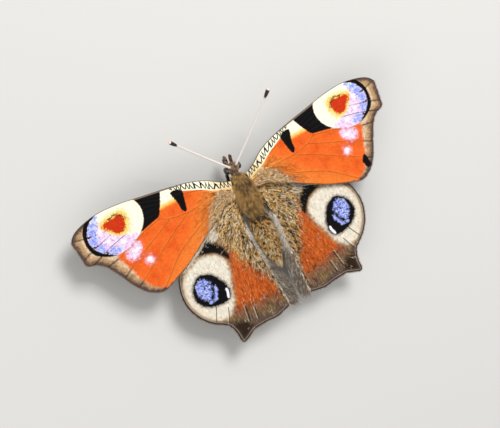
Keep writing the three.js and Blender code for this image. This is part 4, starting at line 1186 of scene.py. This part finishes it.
FORELEG = [(0.8, 1.4, 4.0), (0.95, 1.1, 3.0), (1.05, 0.75, 2.95), (0.98, -0.1, 3.1), (0.8, -0.8, 3.4)]
FORELEG_RADII = [0.3, 0.27, 0.24, 0.22, 0.12]
LIMB_STEPS = 5        # places along a limb that its bends are averaged over
LEG_STRIP = 0.165     # share of the legs' unwrap that each leg has
ROOT_SHADE = (0.02, 0.012, 0.008)    # near-black brown between the hairs, in linear light


def thorax_rings(inset):
    """The barrel of the solid made smaller by the coat's depth, rounded at both ends, with a groove behind
    the collar and one in front of the hind lobe, and a lobe over each forewing's root."""
    share = (1 - np.cos(np.pi * np.linspace(0.03, 0.97, 56))) / 2
    y = (THORAX["front"] + share * (THORAX["back"] - THORAX["front"]))[:, None]
    angle = turns(84)[None]
    groove = 1 - 0.07 * np.exp(-((y - 0.95) / 0.3) ** 2) - (
        0.06 * np.maximum(np.sin(angle), 0) * np.exp(-((y - 6.1) / 0.3) ** 2))
    lobe = np.exp(-((y - TEGULA["back"]) / TEGULA["length"]) ** 2 - (
        (np.abs(angle - np.pi / 2) - TEGULA["turn"]) / TEGULA["width"]) ** 2)
    girth = thorax_girth(y) * (groove + TEGULA["rise"] * lobe) * round_ends(share, 0.05)[:, None]
    x = (THORAX["width"] / 2 - inset) * girth * np.cos(angle)
    z = THORAX["level"] + (THORAX["height"] / 2 - inset) * girth * np.sin(angle)
    return np.stack([x, y + 0 * x, z], -1)


def abdomen_rings(inset):
    """Overlapping rings: the radius follows the girth and steps in at the end of each ring."""
    share = np.linspace(0, 1, 100)
    girth = spline(ABDOMEN_GIRTH, 12)
    radius = np.interp(share, girth[:, 0], girth[:, 1]) - inset
    within = (share * ABDOMEN["rings"]) % 1
    radius = radius + 0.1 * (1 - 0.5 * share) * (within - smooth(within, 0.85, 1.0))
    radius = radius * round_ends(share, 0.05)
    level = ABDOMEN["level_front"] + share * (ABDOMEN["level_back"] - ABDOMEN["level_front"])
    y = ABDOMEN["front"] - 0.25 + share * (ABDOMEN["back"] - ABDOMEN["front"] + 0.1)
    angle = turns(64)[None]
    return np.stack([ABDOMEN["broad"] * radius[:, None] * np.cos(angle), y[:, None] + 0 * angle,
                     level[:, None] + 0.95 * radius[:, None] * np.sin(angle)], -1)


def ray_through(ways, centre, size):
    """Distances from the head's middle at which rays enter and leave an ellipsoid, and infinite ones where
    they miss."""
    w, c = ways / size, (np.asarray(centre) - HEAD_CENTRE) / size
    a, b = np.sum(w * w, -1), np.sum(w * c, -1)
    root = np.sqrt(np.maximum(b * b - a * (c @ c - 1), 0))
    hit = b * b > a * (c @ c - 1)
    return np.where(hit, (b - root) / a, np.inf), np.where(hit, (b + root) / a, -np.inf)


def head_rings(inset):
    """The farthest of the head's rounded parts along each ray from its middle, hollowed where an eye sits.
    Also gives how near each point is to an eye: 0 in its hollow."""
    polar = np.linspace(0.03, np.pi - 0.03, 90)[:, None]
    angle = turns(120)[None]
    around = np.sin(polar)
    ways = np.stack([around * np.cos(angle), -np.cos(polar) + 0 * angle, around * np.sin(angle)], -1)
    reach = np.max([ray_through(ways, centre, np.array(part) - inset)[1] for centre, part in HEAD_PARTS], 0)
    near = np.full(reach.shape, np.inf)
    for side in SIDES.values():
        centre = mirrored(EYE["centre"], side)
        reach = np.minimum(reach, np.maximum(ray_through(ways, centre, EYE["size"] + 0.03)[0], 0.4))
        points = HEAD_CENTRE + ways * reach[..., None]
        near = np.minimum(near, np.linalg.norm((points - centre) / EYE["size"], axis=-1) - 1)
    return HEAD_CENTRE + ways * reach[..., None], near


def limb_rings(knots, radii, count, upright, sides=14, blunt=0.02):
    """Rings along a path through the knots, averaged over some steps so that it turns softly, with radii
    given at the knots. Also gives the path's directions."""
    knots = np.asarray(knots, float)
    travelled = travel(knots)
    share = np.linspace(0, 1, count)
    radius = np.interp(share * travelled[-1], travelled, np.broadcast_to(radii, len(knots)))
    window = np.ones(LIMB_STEPS) / LIMB_STEPS
    *path, radius = (np.convolve(np.pad(line, LIMB_STEPS // 2, mode="edge"), window, "valid")
                     for line in (*evenly(knots, count).T, radius))
    return rings_along(np.stack(path, 1), radius * round_ends(share, blunt), sides, upright)


def outward_rings(rings):
    """The rings in the order that makes a grid's normals point away from their middles."""
    step = rings[1:2] - rings[:1]
    normal = np.cross(np.roll(rings[:1], -1, axis=1) - rings[:1], step)
    away = rings[:1] - rings[:1].mean(1, keepdims=True)
    return rings if np.sum(normal * away) > 0 else rings[:, ::-1]


def fur_colour(looks, place, shade, dark, middle, pale, patch, crisp):
    """Three colours in soft patches, more sharply apart the crisper. The field light shifts them."""
    noise = looks.noise(place, patch, 3.0)
    patches = looks.sum("MULTIPLY_ADD", noise, 0.9 - 0.5 * crisp, looks.field("light"))
    pick = looks.sum("MULTIPLY_ADD", shade, 0.45 + 0.35 * crisp, patches)
    return looks.layers(dark, (looks.step(pick, 0.45 + 0.05 * crisp, 0.75 - 0.17 * crisp), middle),
                        (looks.step(pick, 0.78 + 0.04 * crisp, 1.0 - 0.12 * crisp), pale))


def fur_looks(name, dark, middle, pale, patch=0.9, crisp=0.0):
    """Skin and hair of one part of the body, in the same patches of colour, the hair darker at its root."""
    skin, hair = Looks(f"{name} skin"), Looks(f"{name} hair")
    place = skin.place("place")
    fine = skin.noise(skin.stretch(place, (14.0, 3.0, 14.0)), 1.0, 2.0)
    base = fur_colour(skin, place, fine, dark, middle, pale, patch, crisp)
    skin.relief(fine, 0.00005)
    under = skin.finish(skin.mix(0.5, base, ROOT_SHADE), 0.8)
    base = fur_colour(hair, hair.place("place"), hair.field("shade"), dark, middle, pale, patch, crisp)
    root = hair.step(hair.field("along"), 0.0, 0.55)
    base = hair.mix(root, hair.mix(0.55, base, ROOT_SHADE), base)
    return under, hair.finish(base, 0.55, Specular_IOR_Level=0.3, Sheen_Weight=0.1)


def add_body_part(name, rings, looks, replaces, count, lie, lift, lengths, radius, seed,
                  weight=None, clumps=200, pull=0.45, droop=0.25, light=lambda places: 0 * places[:, 0],
                  shared_shade=0.6):
    """A skin over rings with its hair. lie, lift and lengths give the hairs' way along the surface, their
    angle off it and their lengths, and light gives, for places, how much lighter the coat is there."""
    rings = outward_rings(rings)
    rows, columns = rings.shape[:2]
    body = closed_rings(rings)
    fields = {"place": body[0], "light": light(body[0])}
    add_piece(f"{name}_skin", body, [looks[0]], replaces, fields, ring_uv(rows, columns))
    rng = np.random.default_rng(seed)
    weight = None if weight is None else wrapped(weight)
    roots, normals, (unwrap,) = scatter(wrapped(rings), [ring_plan(rings)], count, rng, weight)
    ways = laid(normals, lie(roots), lift(roots) if callable(lift) else lift, rng, 0.16)
    long = lengths(roots, rng)
    bend, shade = clumped(roots, ways, -droop * normals, long, rng, clumps, pull, shared_shade)
    radii = radius * (0.75 + 0.5 * rng.random(count))
    fields = {"place": roots, "light": light(roots)}
    add_coat(f"{name}_hair", roots, ways, bend, long, radii, unwrap, looks[1], shade, fields)


def add_thorax():
    s = bpy.context.scene.butterfly_body
    looks = fur_looks("thorax", s.brown, s.golden, s.tip)

    def lie(roots):
        x, y, _ = roots.T
        swirl = 0.25 * np.sign(x) * np.sin(y * 1.3 + 1.5 * np.sign(x))
        return np.stack([0.35 * x + swirl, np.ones(len(x)), np.zeros(len(x))], 1)

    def lengths(roots, rng):
        long = rng.random(len(roots)) > 0.72
        edge = smooth(roots[:, 1], 6.0, 7.6)
        return (0.75 + 0.35 * rng.random(len(roots))) * (1 + 0.55 * long) * (1 + 0.8 * edge)

    def light(places):
        """Darker along the middle and in the tuft at the rear, lighter down the flanks and in the collar."""
        x, y = np.abs(places[:, 0]), places[:, 1]
        return 0.22 * smooth(x, 0.7, 2.0) + 0.1 * smooth(y, 1.4, 0.4) - 0.22 * smooth(y, 6.6, 7.6) - 0.07

    add_body_part("thorax", thorax_rings(s.hair_depth), looks, ["thorax"], s.thorax_hairs, lie,
                  0.52, lengths, 0.032, 11, clumps=520, light=light)


def add_abdomen():
    s = bpy.context.scene.butterfly_body
    looks = fur_looks("abdomen", s.skin, s.amber, s.sandy, 3.2, 1.0)

    def lie(roots):
        return np.stack([0.7 * roots[:, 0], np.ones(len(roots)), np.zeros(len(roots))], 1)

    def lengths(roots, rng):
        beside = smooth(np.abs(roots[:, 0]), 0.8, 1.3)
        tip = smooth(roots[:, 1], 15.5, 18.2)
        return (0.42 + 0.24 * rng.random(len(roots))) * (1 + 0.6 * tip + 0.9 * beside)

    def light(places):
        """Dark behind the thorax, and pale at the tip."""
        return 0.1 - 0.26 * smooth(places[:, 1], 10.0, 8.4) + 0.34 * smooth(places[:, 1], 15.0, 18.0)

    def lift(roots):
        return 0.4 + 0.4 * smooth(np.abs(roots[:, 0]), 0.9, 1.4)

    add_body_part("abdomen", abdomen_rings(0.2), looks, ["abdomen"], s.abdomen_hairs, lie, lift,
                  lengths, 0.03, 21, clumps=1500, pull=0.5, light=light, shared_shade=0.95)


def add_head():
    s = bpy.context.scene.butterfly_body
    looks = fur_looks("head", s.skin, s.rose, s.tip, 1.6)
    rings, near = head_rings(0.16)

    def lie(roots):
        return (roots - HEAD_CENTRE) * (1.0, 0.4, 0.6) + (0, -0.9, 0.35)

    def lengths(roots, rng):
        return (0.28 + 0.22 * rng.random(len(roots))) * (1 + 0.6 * smooth(roots[:, 2], 5.5, 6.2)) * (
            1 + 1.2 * smooth(light(roots), 0.15, 0.3))

    ordered = outward_rings(rings)
    weight = smooth(near, 0.05, 0.2)
    weight = weight if ordered is rings else weight[:, ::-1]

    def light(places):
        """Palest round the eyes."""
        near = [np.linalg.norm((places - mirrored(EYE["centre"], side)) / EYE["size"], axis=1) - 1
                for side in SIDES.values()]
        return 0.1 + 0.3 * smooth(np.min(near, 0), 0.5, 0.15)

    add_body_part("head", rings, looks, ["head"], s.head_hairs, lie, 0.75, lengths, 0.024, 31,
                  weight=weight, clumps=240, pull=0.5, light=light)


def eye_looks():
    s = bpy.context.scene.butterfly_body
    looks = Looks("faceted eye")
    place = looks.place("place")
    distance, _, _ = looks.cells(place, 26.0)
    base = looks.mix(looks.step(looks.noise(place, 1.6, 2.0), 0.35, 0.7), s.eye, s.skin)
    looks.relief(looks.times(distance, -1.0), 0.000012)
    return looks.finish(base, 0.22, Specular_IOR_Level=0.6, Coat_Weight=0.3)


def add_eyes():
    looks = eye_looks()
    for suffix, side in SIDES.items():
        points, triangles = ellipsoid(EYE["centre"], EYE["size"], 60, 84)
        points = mirrored(points, side)
        add_piece(f"eye_{suffix}_globe", (points, triangles), [looks], [f"eye_{suffix}"],
                  {"place": points})


def feeler_looks():
    s = bpy.context.scene.butterfly_body
    looks = Looks("feeler")
    place, share = looks.place("place"), looks.field("share")
    grain = looks.noise(place, 9.0, 2.0)
    # cream-white shaft: the feelers' white scales, made paler still with painted sunlight
    base = looks.layers(
        s.shaft,
        (looks.step(looks.field("ring"), 0.8, 0.95), s.leg),
        (looks.step(grain, 0.55, 0.8), s.tip),
        (looks.step(share, 0.05, 0.0), s.leg),
        (looks.step(share, 0.87, 0.9), s.club),
        (looks.step(share, 0.975, 0.99), s.club_tip))
    looks.relief(grain, 0.00002)
    return looks.finish(base, 0.6)


def add_feelers():
    """A feeler curves from root to tip. Its club swells by a quarter of a sine wave and ends round, and it
    has a shallow groove between its segments."""
    looks = feeler_looks()
    root, tip = np.array(FEELER["root"]), np.array(FEELER["tip"])
    middle = (root + tip) / 2 + (0.1, 0.15, 0.35)
    t = np.linspace(0, 1, 420)[:, None]
    path = (1 - t) ** 2 * root + 2 * t * (1 - t) * middle + t ** 2 * tip
    share = t[:, 0]
    into = np.clip((share - 1 + FEELER["club_share"]) / FEELER["club_share"], 0, 1)
    radius = FEELER["shaft"] + (FEELER["club"] - FEELER["shaft"]) * (
        np.sin(np.minimum(into * 1.25, 1) * np.pi / 2))
    radius *= np.where(into > 0.8, np.sqrt(np.maximum(1.02 - ((into - 0.8) / 0.2) ** 2, 0.02)), 1)
    segment = (share * FEELER["segments"]) % 1
    radius *= 1 - 0.09 * smooth(np.abs(segment - 0.5), 0.34, 0.5)
    radius *= 1 + 0.5 * (1 - smooth(share, 0.015, 0.04))
    sides = 16
    points, triangles = closed_rings(rings_along(path, radius, sides, (0, 0, 1))[0])
    fields = {"share": np.append(np.repeat(share, sides), [0, 1]),
              "ring": np.append(np.repeat(segment, sides), [0, 0])}
    for suffix, side in SIDES.items():
        placed = mirrored(points, side)
        add_piece(f"antenna_{suffix}_scaled", (placed, triangles), [looks], [f"antenna_{suffix}"],
                  {**fields, "place": placed})


def add_mouthparts():
    """Two hairy palps, and the tongue as a flat spiral whose outer end runs up to the head."""
    s = bpy.context.scene.butterfly_body
    palp_looks = fur_looks("palp", s.skin, s.rose, s.tip, 1.6)
    curve = spline(PALP, 10)
    count = 40
    share = np.linspace(0, 1, count)
    rings, _ = limb_rings(curve, 0.18, count, (1, 0, 0), 16, 0.12)
    swell = (1 + 0.25 * np.sin(np.pi * share) - 0.4 * share ** 2)[:, None, None]
    middle = rings.mean(1, keepdims=True)
    rings = middle + (rings - middle) * swell
    middles = evenly(curve, count)

    def lengths(roots, rng):
        return 0.24 + 0.2 * rng.random(len(roots))

    for (suffix, side), seed in zip(SIDES.items(), (41, 45)):
        path, along = mirrored(middles, side), mirrored(np.gradient(middles, axis=0), side)

        def lie(roots, path=path, along=along):
            return along[np.argmin(((roots[:, None] - path[None]) ** 2).sum(-1), 1)]

        add_body_part(f"palp_{suffix}", mirrored(rings, side), palp_looks, [f"palp_{suffix}"],
                      1100, lie, 0.36, lengths, 0.02, seed, clumps=90, droop=0.1,
                      light=lambda places: 0.1 + 0 * places[:, 0])
    looks = Looks("tongue")
    grain = looks.noise(looks.place("place"), 14.0, 2.0)
    looks.relief(grain, 0.000015)
    tongue = looks.finish(looks.mix(grain, s.tongue, s.skin), 0.4)
    turn = np.linspace(0, TONGUE["turns"], 150)
    reach = TONGUE["inner"] + TONGUE["pitch"] * turn
    angle = 2 * np.pi * (turn - TONGUE["turns"])
    coil = np.array(TONGUE["centre"]) + np.stack([0 * turn, np.cos(angle) * reach, np.sin(angle) * reach], 1)
    coil = np.vstack([coil, [(0, -1.8, 4.0), (0, -1.7, 4.5)]])
    rings, _ = limb_rings(coil, TONGUE["radius"], 160, (1, 0, 0), 14, 0.01)
    body = closed_rings(rings)
    add_piece("proboscis_coil", body, [tongue], ["proboscis"], {"place": body[0]})


def add_legs():
    """Six legs, none reaching under the floor, and one coat for all of them, with none on the soles."""
    s = bpy.context.scene.butterfly_body
    looks = fur_looks("leg", s.skin, s.leg, s.tip)
    limbs = [("mid_leg", MID_LEG, LEG_RADII, (0, 1, 0), 130),
             ("hind_leg", HIND_LEG, LEG_RADII, (1, 0, 0), 130),
             ("foreleg", FORELEG, FORELEG_RADII, (1, 0, 0), 40)]
    rng = np.random.default_rng(51)
    coat = []
    for row, (name, knots, radii, upright, count) in enumerate(limbs):
        rings, along = limb_rings(knots, radii, count, upright)
        parts = ("",) if name == "foreleg" else ("_coxa", "_femur", "_tibia", "_tarsus")
        for column, (suffix, side) in enumerate(SIDES.items()):
            own = outward_rings(mirrored(rings, side))
            body = closed_rings(own)
            body[0][:, 2] = np.maximum(body[0][:, 2], 0.01)
            nodes = [f"{name}{part}_{suffix}" for part in parts]
            add_piece(f"{name}_{suffix}_skin", body, [looks[0]], nodes, {"place": body[0]},
                      ring_uv(*own.shape[:2]))
            plan = ring_plan(own) * (0.16, 0.96) + ((2 * row + column) * LEG_STRIP, 0)
            ahead = np.repeat(mirrored(along, side)[:, None], own.shape[1] + 1, 1)
            roots, normals, (unwrap, lie) = scatter(wrapped(own), [plan, ahead], count * 9, rng)
            keep = roots[:, 2] > 0.3
            ways = laid(normals, lie, 0.38, rng, 0.1)
            coat.append([part[keep] for part in (roots, ways, normals, unwrap)])
    roots, ways, normals, unwrap = (np.concatenate(part) for part in zip(*coat))
    lengths = 0.2 + 0.16 * rng.random(len(roots)) + 0.14 * smooth(roots[:, 2], 0.8, 3.0)
    lengths[np.abs(roots[:, 0]) < 1.2] *= 1.5
    add_coat("leg_hair", roots, ways, -0.2 * normals, lengths, np.full(len(roots), 0.018), unwrap, looks[1],
             rng.random(len(roots)), {"place": roots})


# Stage


def add_stage():
    """A plain floor, two soft lights, and even light from all round."""
    s = bpy.context.scene.butterfly_stage
    scene = bpy.context.scene
    half = 0.6
    mesh = bpy.data.meshes.new("floor")
    corners = [(-half, -half, 0), (half, -half, 0), (half, half, 0), (-half, half, 0)]
    mesh.from_pydata(corners, [], [(0, 1, 2, 3)])
    floor = bpy.data.objects.new("floor", mesh)
    scene.collection.objects.link(floor)
    looks = Looks("floor")
    mesh.materials.append(looks.finish(tuple(s.floor), 0.9, Specular_IOR_Level=0.1))
    scene.view_settings.view_transform = "Standard"
    world = bpy.data.worlds.new("studio")
    world.use_nodes = True
    light = world.node_tree.nodes["Background"]
    light.inputs[0].default_value = (1, 1, 1, 1)
    light.inputs[1].default_value = s.sky
    scene.world = world
    for name, place, power, width in (("key", (-0.16, -0.2, 0.34), s.key, 0.16),
                                      ("fill", (0.3, 0.1, 0.22), s.fill, 0.24)):
        light = bpy.data.lights.new(name, "AREA")
        light.energy = power
        light.size = width
        lamp = bpy.data.objects.new(name, light)
        scene.collection.objects.link(lamp)
        lamp.location = place
        lamp.rotation_euler = Vector(place).to_track_quat("Z", "Y").to_euler()


VIEW_TILT = 0.3035                     # of the camera from straight above
VIEW_TURN = 5.6726                     # direction of the tilt
VIEW_ROLL = 2.668                      # of the camera about its own line of sight
VIEW_DISTANCE = 0.2                    # in metres
VIEW_LENS = 83.06                      # focal length in mm, on a sensor 36 mm wide
VIEW_CENTRE = (1.1836, 7.0905, 6.2)    # the place in the middle of the picture


def add_camera():
    """The camera looks along a line tilted from the vertical, and its own axes are rolled about that line."""
    aside = math.sin(VIEW_TILT)
    toward = Vector((aside * math.cos(VIEW_TURN), aside * math.sin(VIEW_TURN), math.cos(VIEW_TILT)))
    level = Vector((0, 1, 0)).cross(toward).normalized()
    upright = toward.cross(level)
    right = math.cos(VIEW_ROLL) * level + math.sin(VIEW_ROLL) * upright
    up = toward.cross(right)
    camera = bpy.data.cameras.new("camera")
    camera.sensor_fit = "HORIZONTAL"
    camera.sensor_width = 36
    camera.lens = VIEW_LENS
    camera.clip_start = 0.005
    eye = bpy.data.objects.new("camera", camera)
    bpy.context.scene.collection.objects.link(eye)
    centre = Vector((np.array(VIEW_CENTRE) + SHIFT) * MM)
    turn = Matrix((right, up, toward)).transposed().to_4x4()
    eye.matrix_world = Matrix.Translation(centre + toward * VIEW_DISTANCE) @ turn
    bpy.context.scene.camera = eye


# Operators and panel


class Step:
    """What the operators share: each builds its own pieces."""

    def execute(self, context):
        self.build()
        return {"FINISHED"}


class BUTTERFLY_OT_forewings(Step, bpy.types.Operator):
    """Add both forewing sheets with their markings"""
    bl_idname = "butterfly.forewings"
    bl_label = "Forewings"

    @staticmethod
    def build():
        s = bpy.context.scene.butterfly_wings
        add_wings("forewing", FORE, fore_fields, forewing_upper, fore_zones, (s.olive, s.straw, s.cream), 61)


class BUTTERFLY_OT_hindwings(Step, bpy.types.Operator):
    """Add both hindwing sheets with their markings"""
    bl_idname = "butterfly.hindwings"
    bl_label = "Hindwings"

    @staticmethod
    def build():
        s = bpy.context.scene.butterfly_wings
        add_wings("hindwing", HIND, hind_fields, hindwing_upper, hind_zones, (s.soot, s.straw, s.pearl), 81)


class BUTTERFLY_OT_thorax(Step, bpy.types.Operator):
    """Add the thorax with its hair"""
    bl_idname = "butterfly.thorax"
    bl_label = "Thorax"
    build = staticmethod(add_thorax)


class BUTTERFLY_OT_abdomen(Step, bpy.types.Operator):
    """Add the abdomen with its hair"""
    bl_idname = "butterfly.abdomen"
    bl_label = "Abdomen"
    build = staticmethod(add_abdomen)


class BUTTERFLY_OT_head(Step, bpy.types.Operator):
    """Add the head with its hair"""
    bl_idname = "butterfly.head"
    bl_label = "Head"
    build = staticmethod(add_head)


class BUTTERFLY_OT_eyes(Step, bpy.types.Operator):
    """Add both faceted eyes"""
    bl_idname = "butterfly.eyes"
    bl_label = "Eyes"
    build = staticmethod(add_eyes)


class BUTTERFLY_OT_feelers(Step, bpy.types.Operator):
    """Add both clubbed feelers"""
    bl_idname = "butterfly.feelers"
    bl_label = "Feelers"
    build = staticmethod(add_feelers)


class BUTTERFLY_OT_mouthparts(Step, bpy.types.Operator):
    """Add both palps and the coiled tongue"""
    bl_idname = "butterfly.mouthparts"
    bl_label = "Mouthparts"
    build = staticmethod(add_mouthparts)


class BUTTERFLY_OT_legs(Step, bpy.types.Operator):
    """Add the six legs with their hair"""
    bl_idname = "butterfly.legs"
    bl_label = "Legs"
    build = staticmethod(add_legs)


class BUTTERFLY_OT_stage(Step, bpy.types.Operator):
    """Add the floor, the lights and the camera"""
    bl_idname = "butterfly.stage"
    bl_label = "Stage"

    @staticmethod
    def build():
        add_stage()
        add_camera()


STEPS = [BUTTERFLY_OT_forewings, BUTTERFLY_OT_hindwings, BUTTERFLY_OT_thorax, BUTTERFLY_OT_abdomen,
         BUTTERFLY_OT_head, BUTTERFLY_OT_eyes, BUTTERFLY_OT_feelers, BUTTERFLY_OT_mouthparts,
         BUTTERFLY_OT_legs, BUTTERFLY_OT_stage]
SETTINGS = {"butterfly_wings": WingSettings, "butterfly_body": BodySettings, "butterfly_stage": StageSettings}


class BUTTERFLY_PT_panel(bpy.types.Panel):
    bl_label = "Butterfly"
    bl_idname = "BUTTERFLY_PT_panel"
    bl_space_type = "VIEW_3D"
    bl_region_type = "UI"
    bl_category = "Butterfly"

    def draw(self, context):
        for key, group in SETTINGS.items():
            box = self.layout.box()
            for name in group.__annotations__:
                box.prop(getattr(context.scene, key), name)
        for step in STEPS:
            self.layout.operator(step.bl_idname)


def register():
    for made in (*SETTINGS.values(), *STEPS, BUTTERFLY_PT_panel):
        bpy.utils.register_class(made)
    for key, group in SETTINGS.items():
        setattr(bpy.types.Scene, key, PointerProperty(type=group))


def unregister():
    for key in SETTINGS:
        delattr(bpy.types.Scene, key)
    for made in (BUTTERFLY_PT_panel, *reversed(STEPS), *reversed(SETTINGS.values())):
        bpy.utils.unregister_class(made)


def main():
    register()
    for step in STEPS:
        group, name = step.bl_idname.split(".")
        getattr(getattr(bpy.ops, group), name)()


if __name__ == "__main__":
    main()
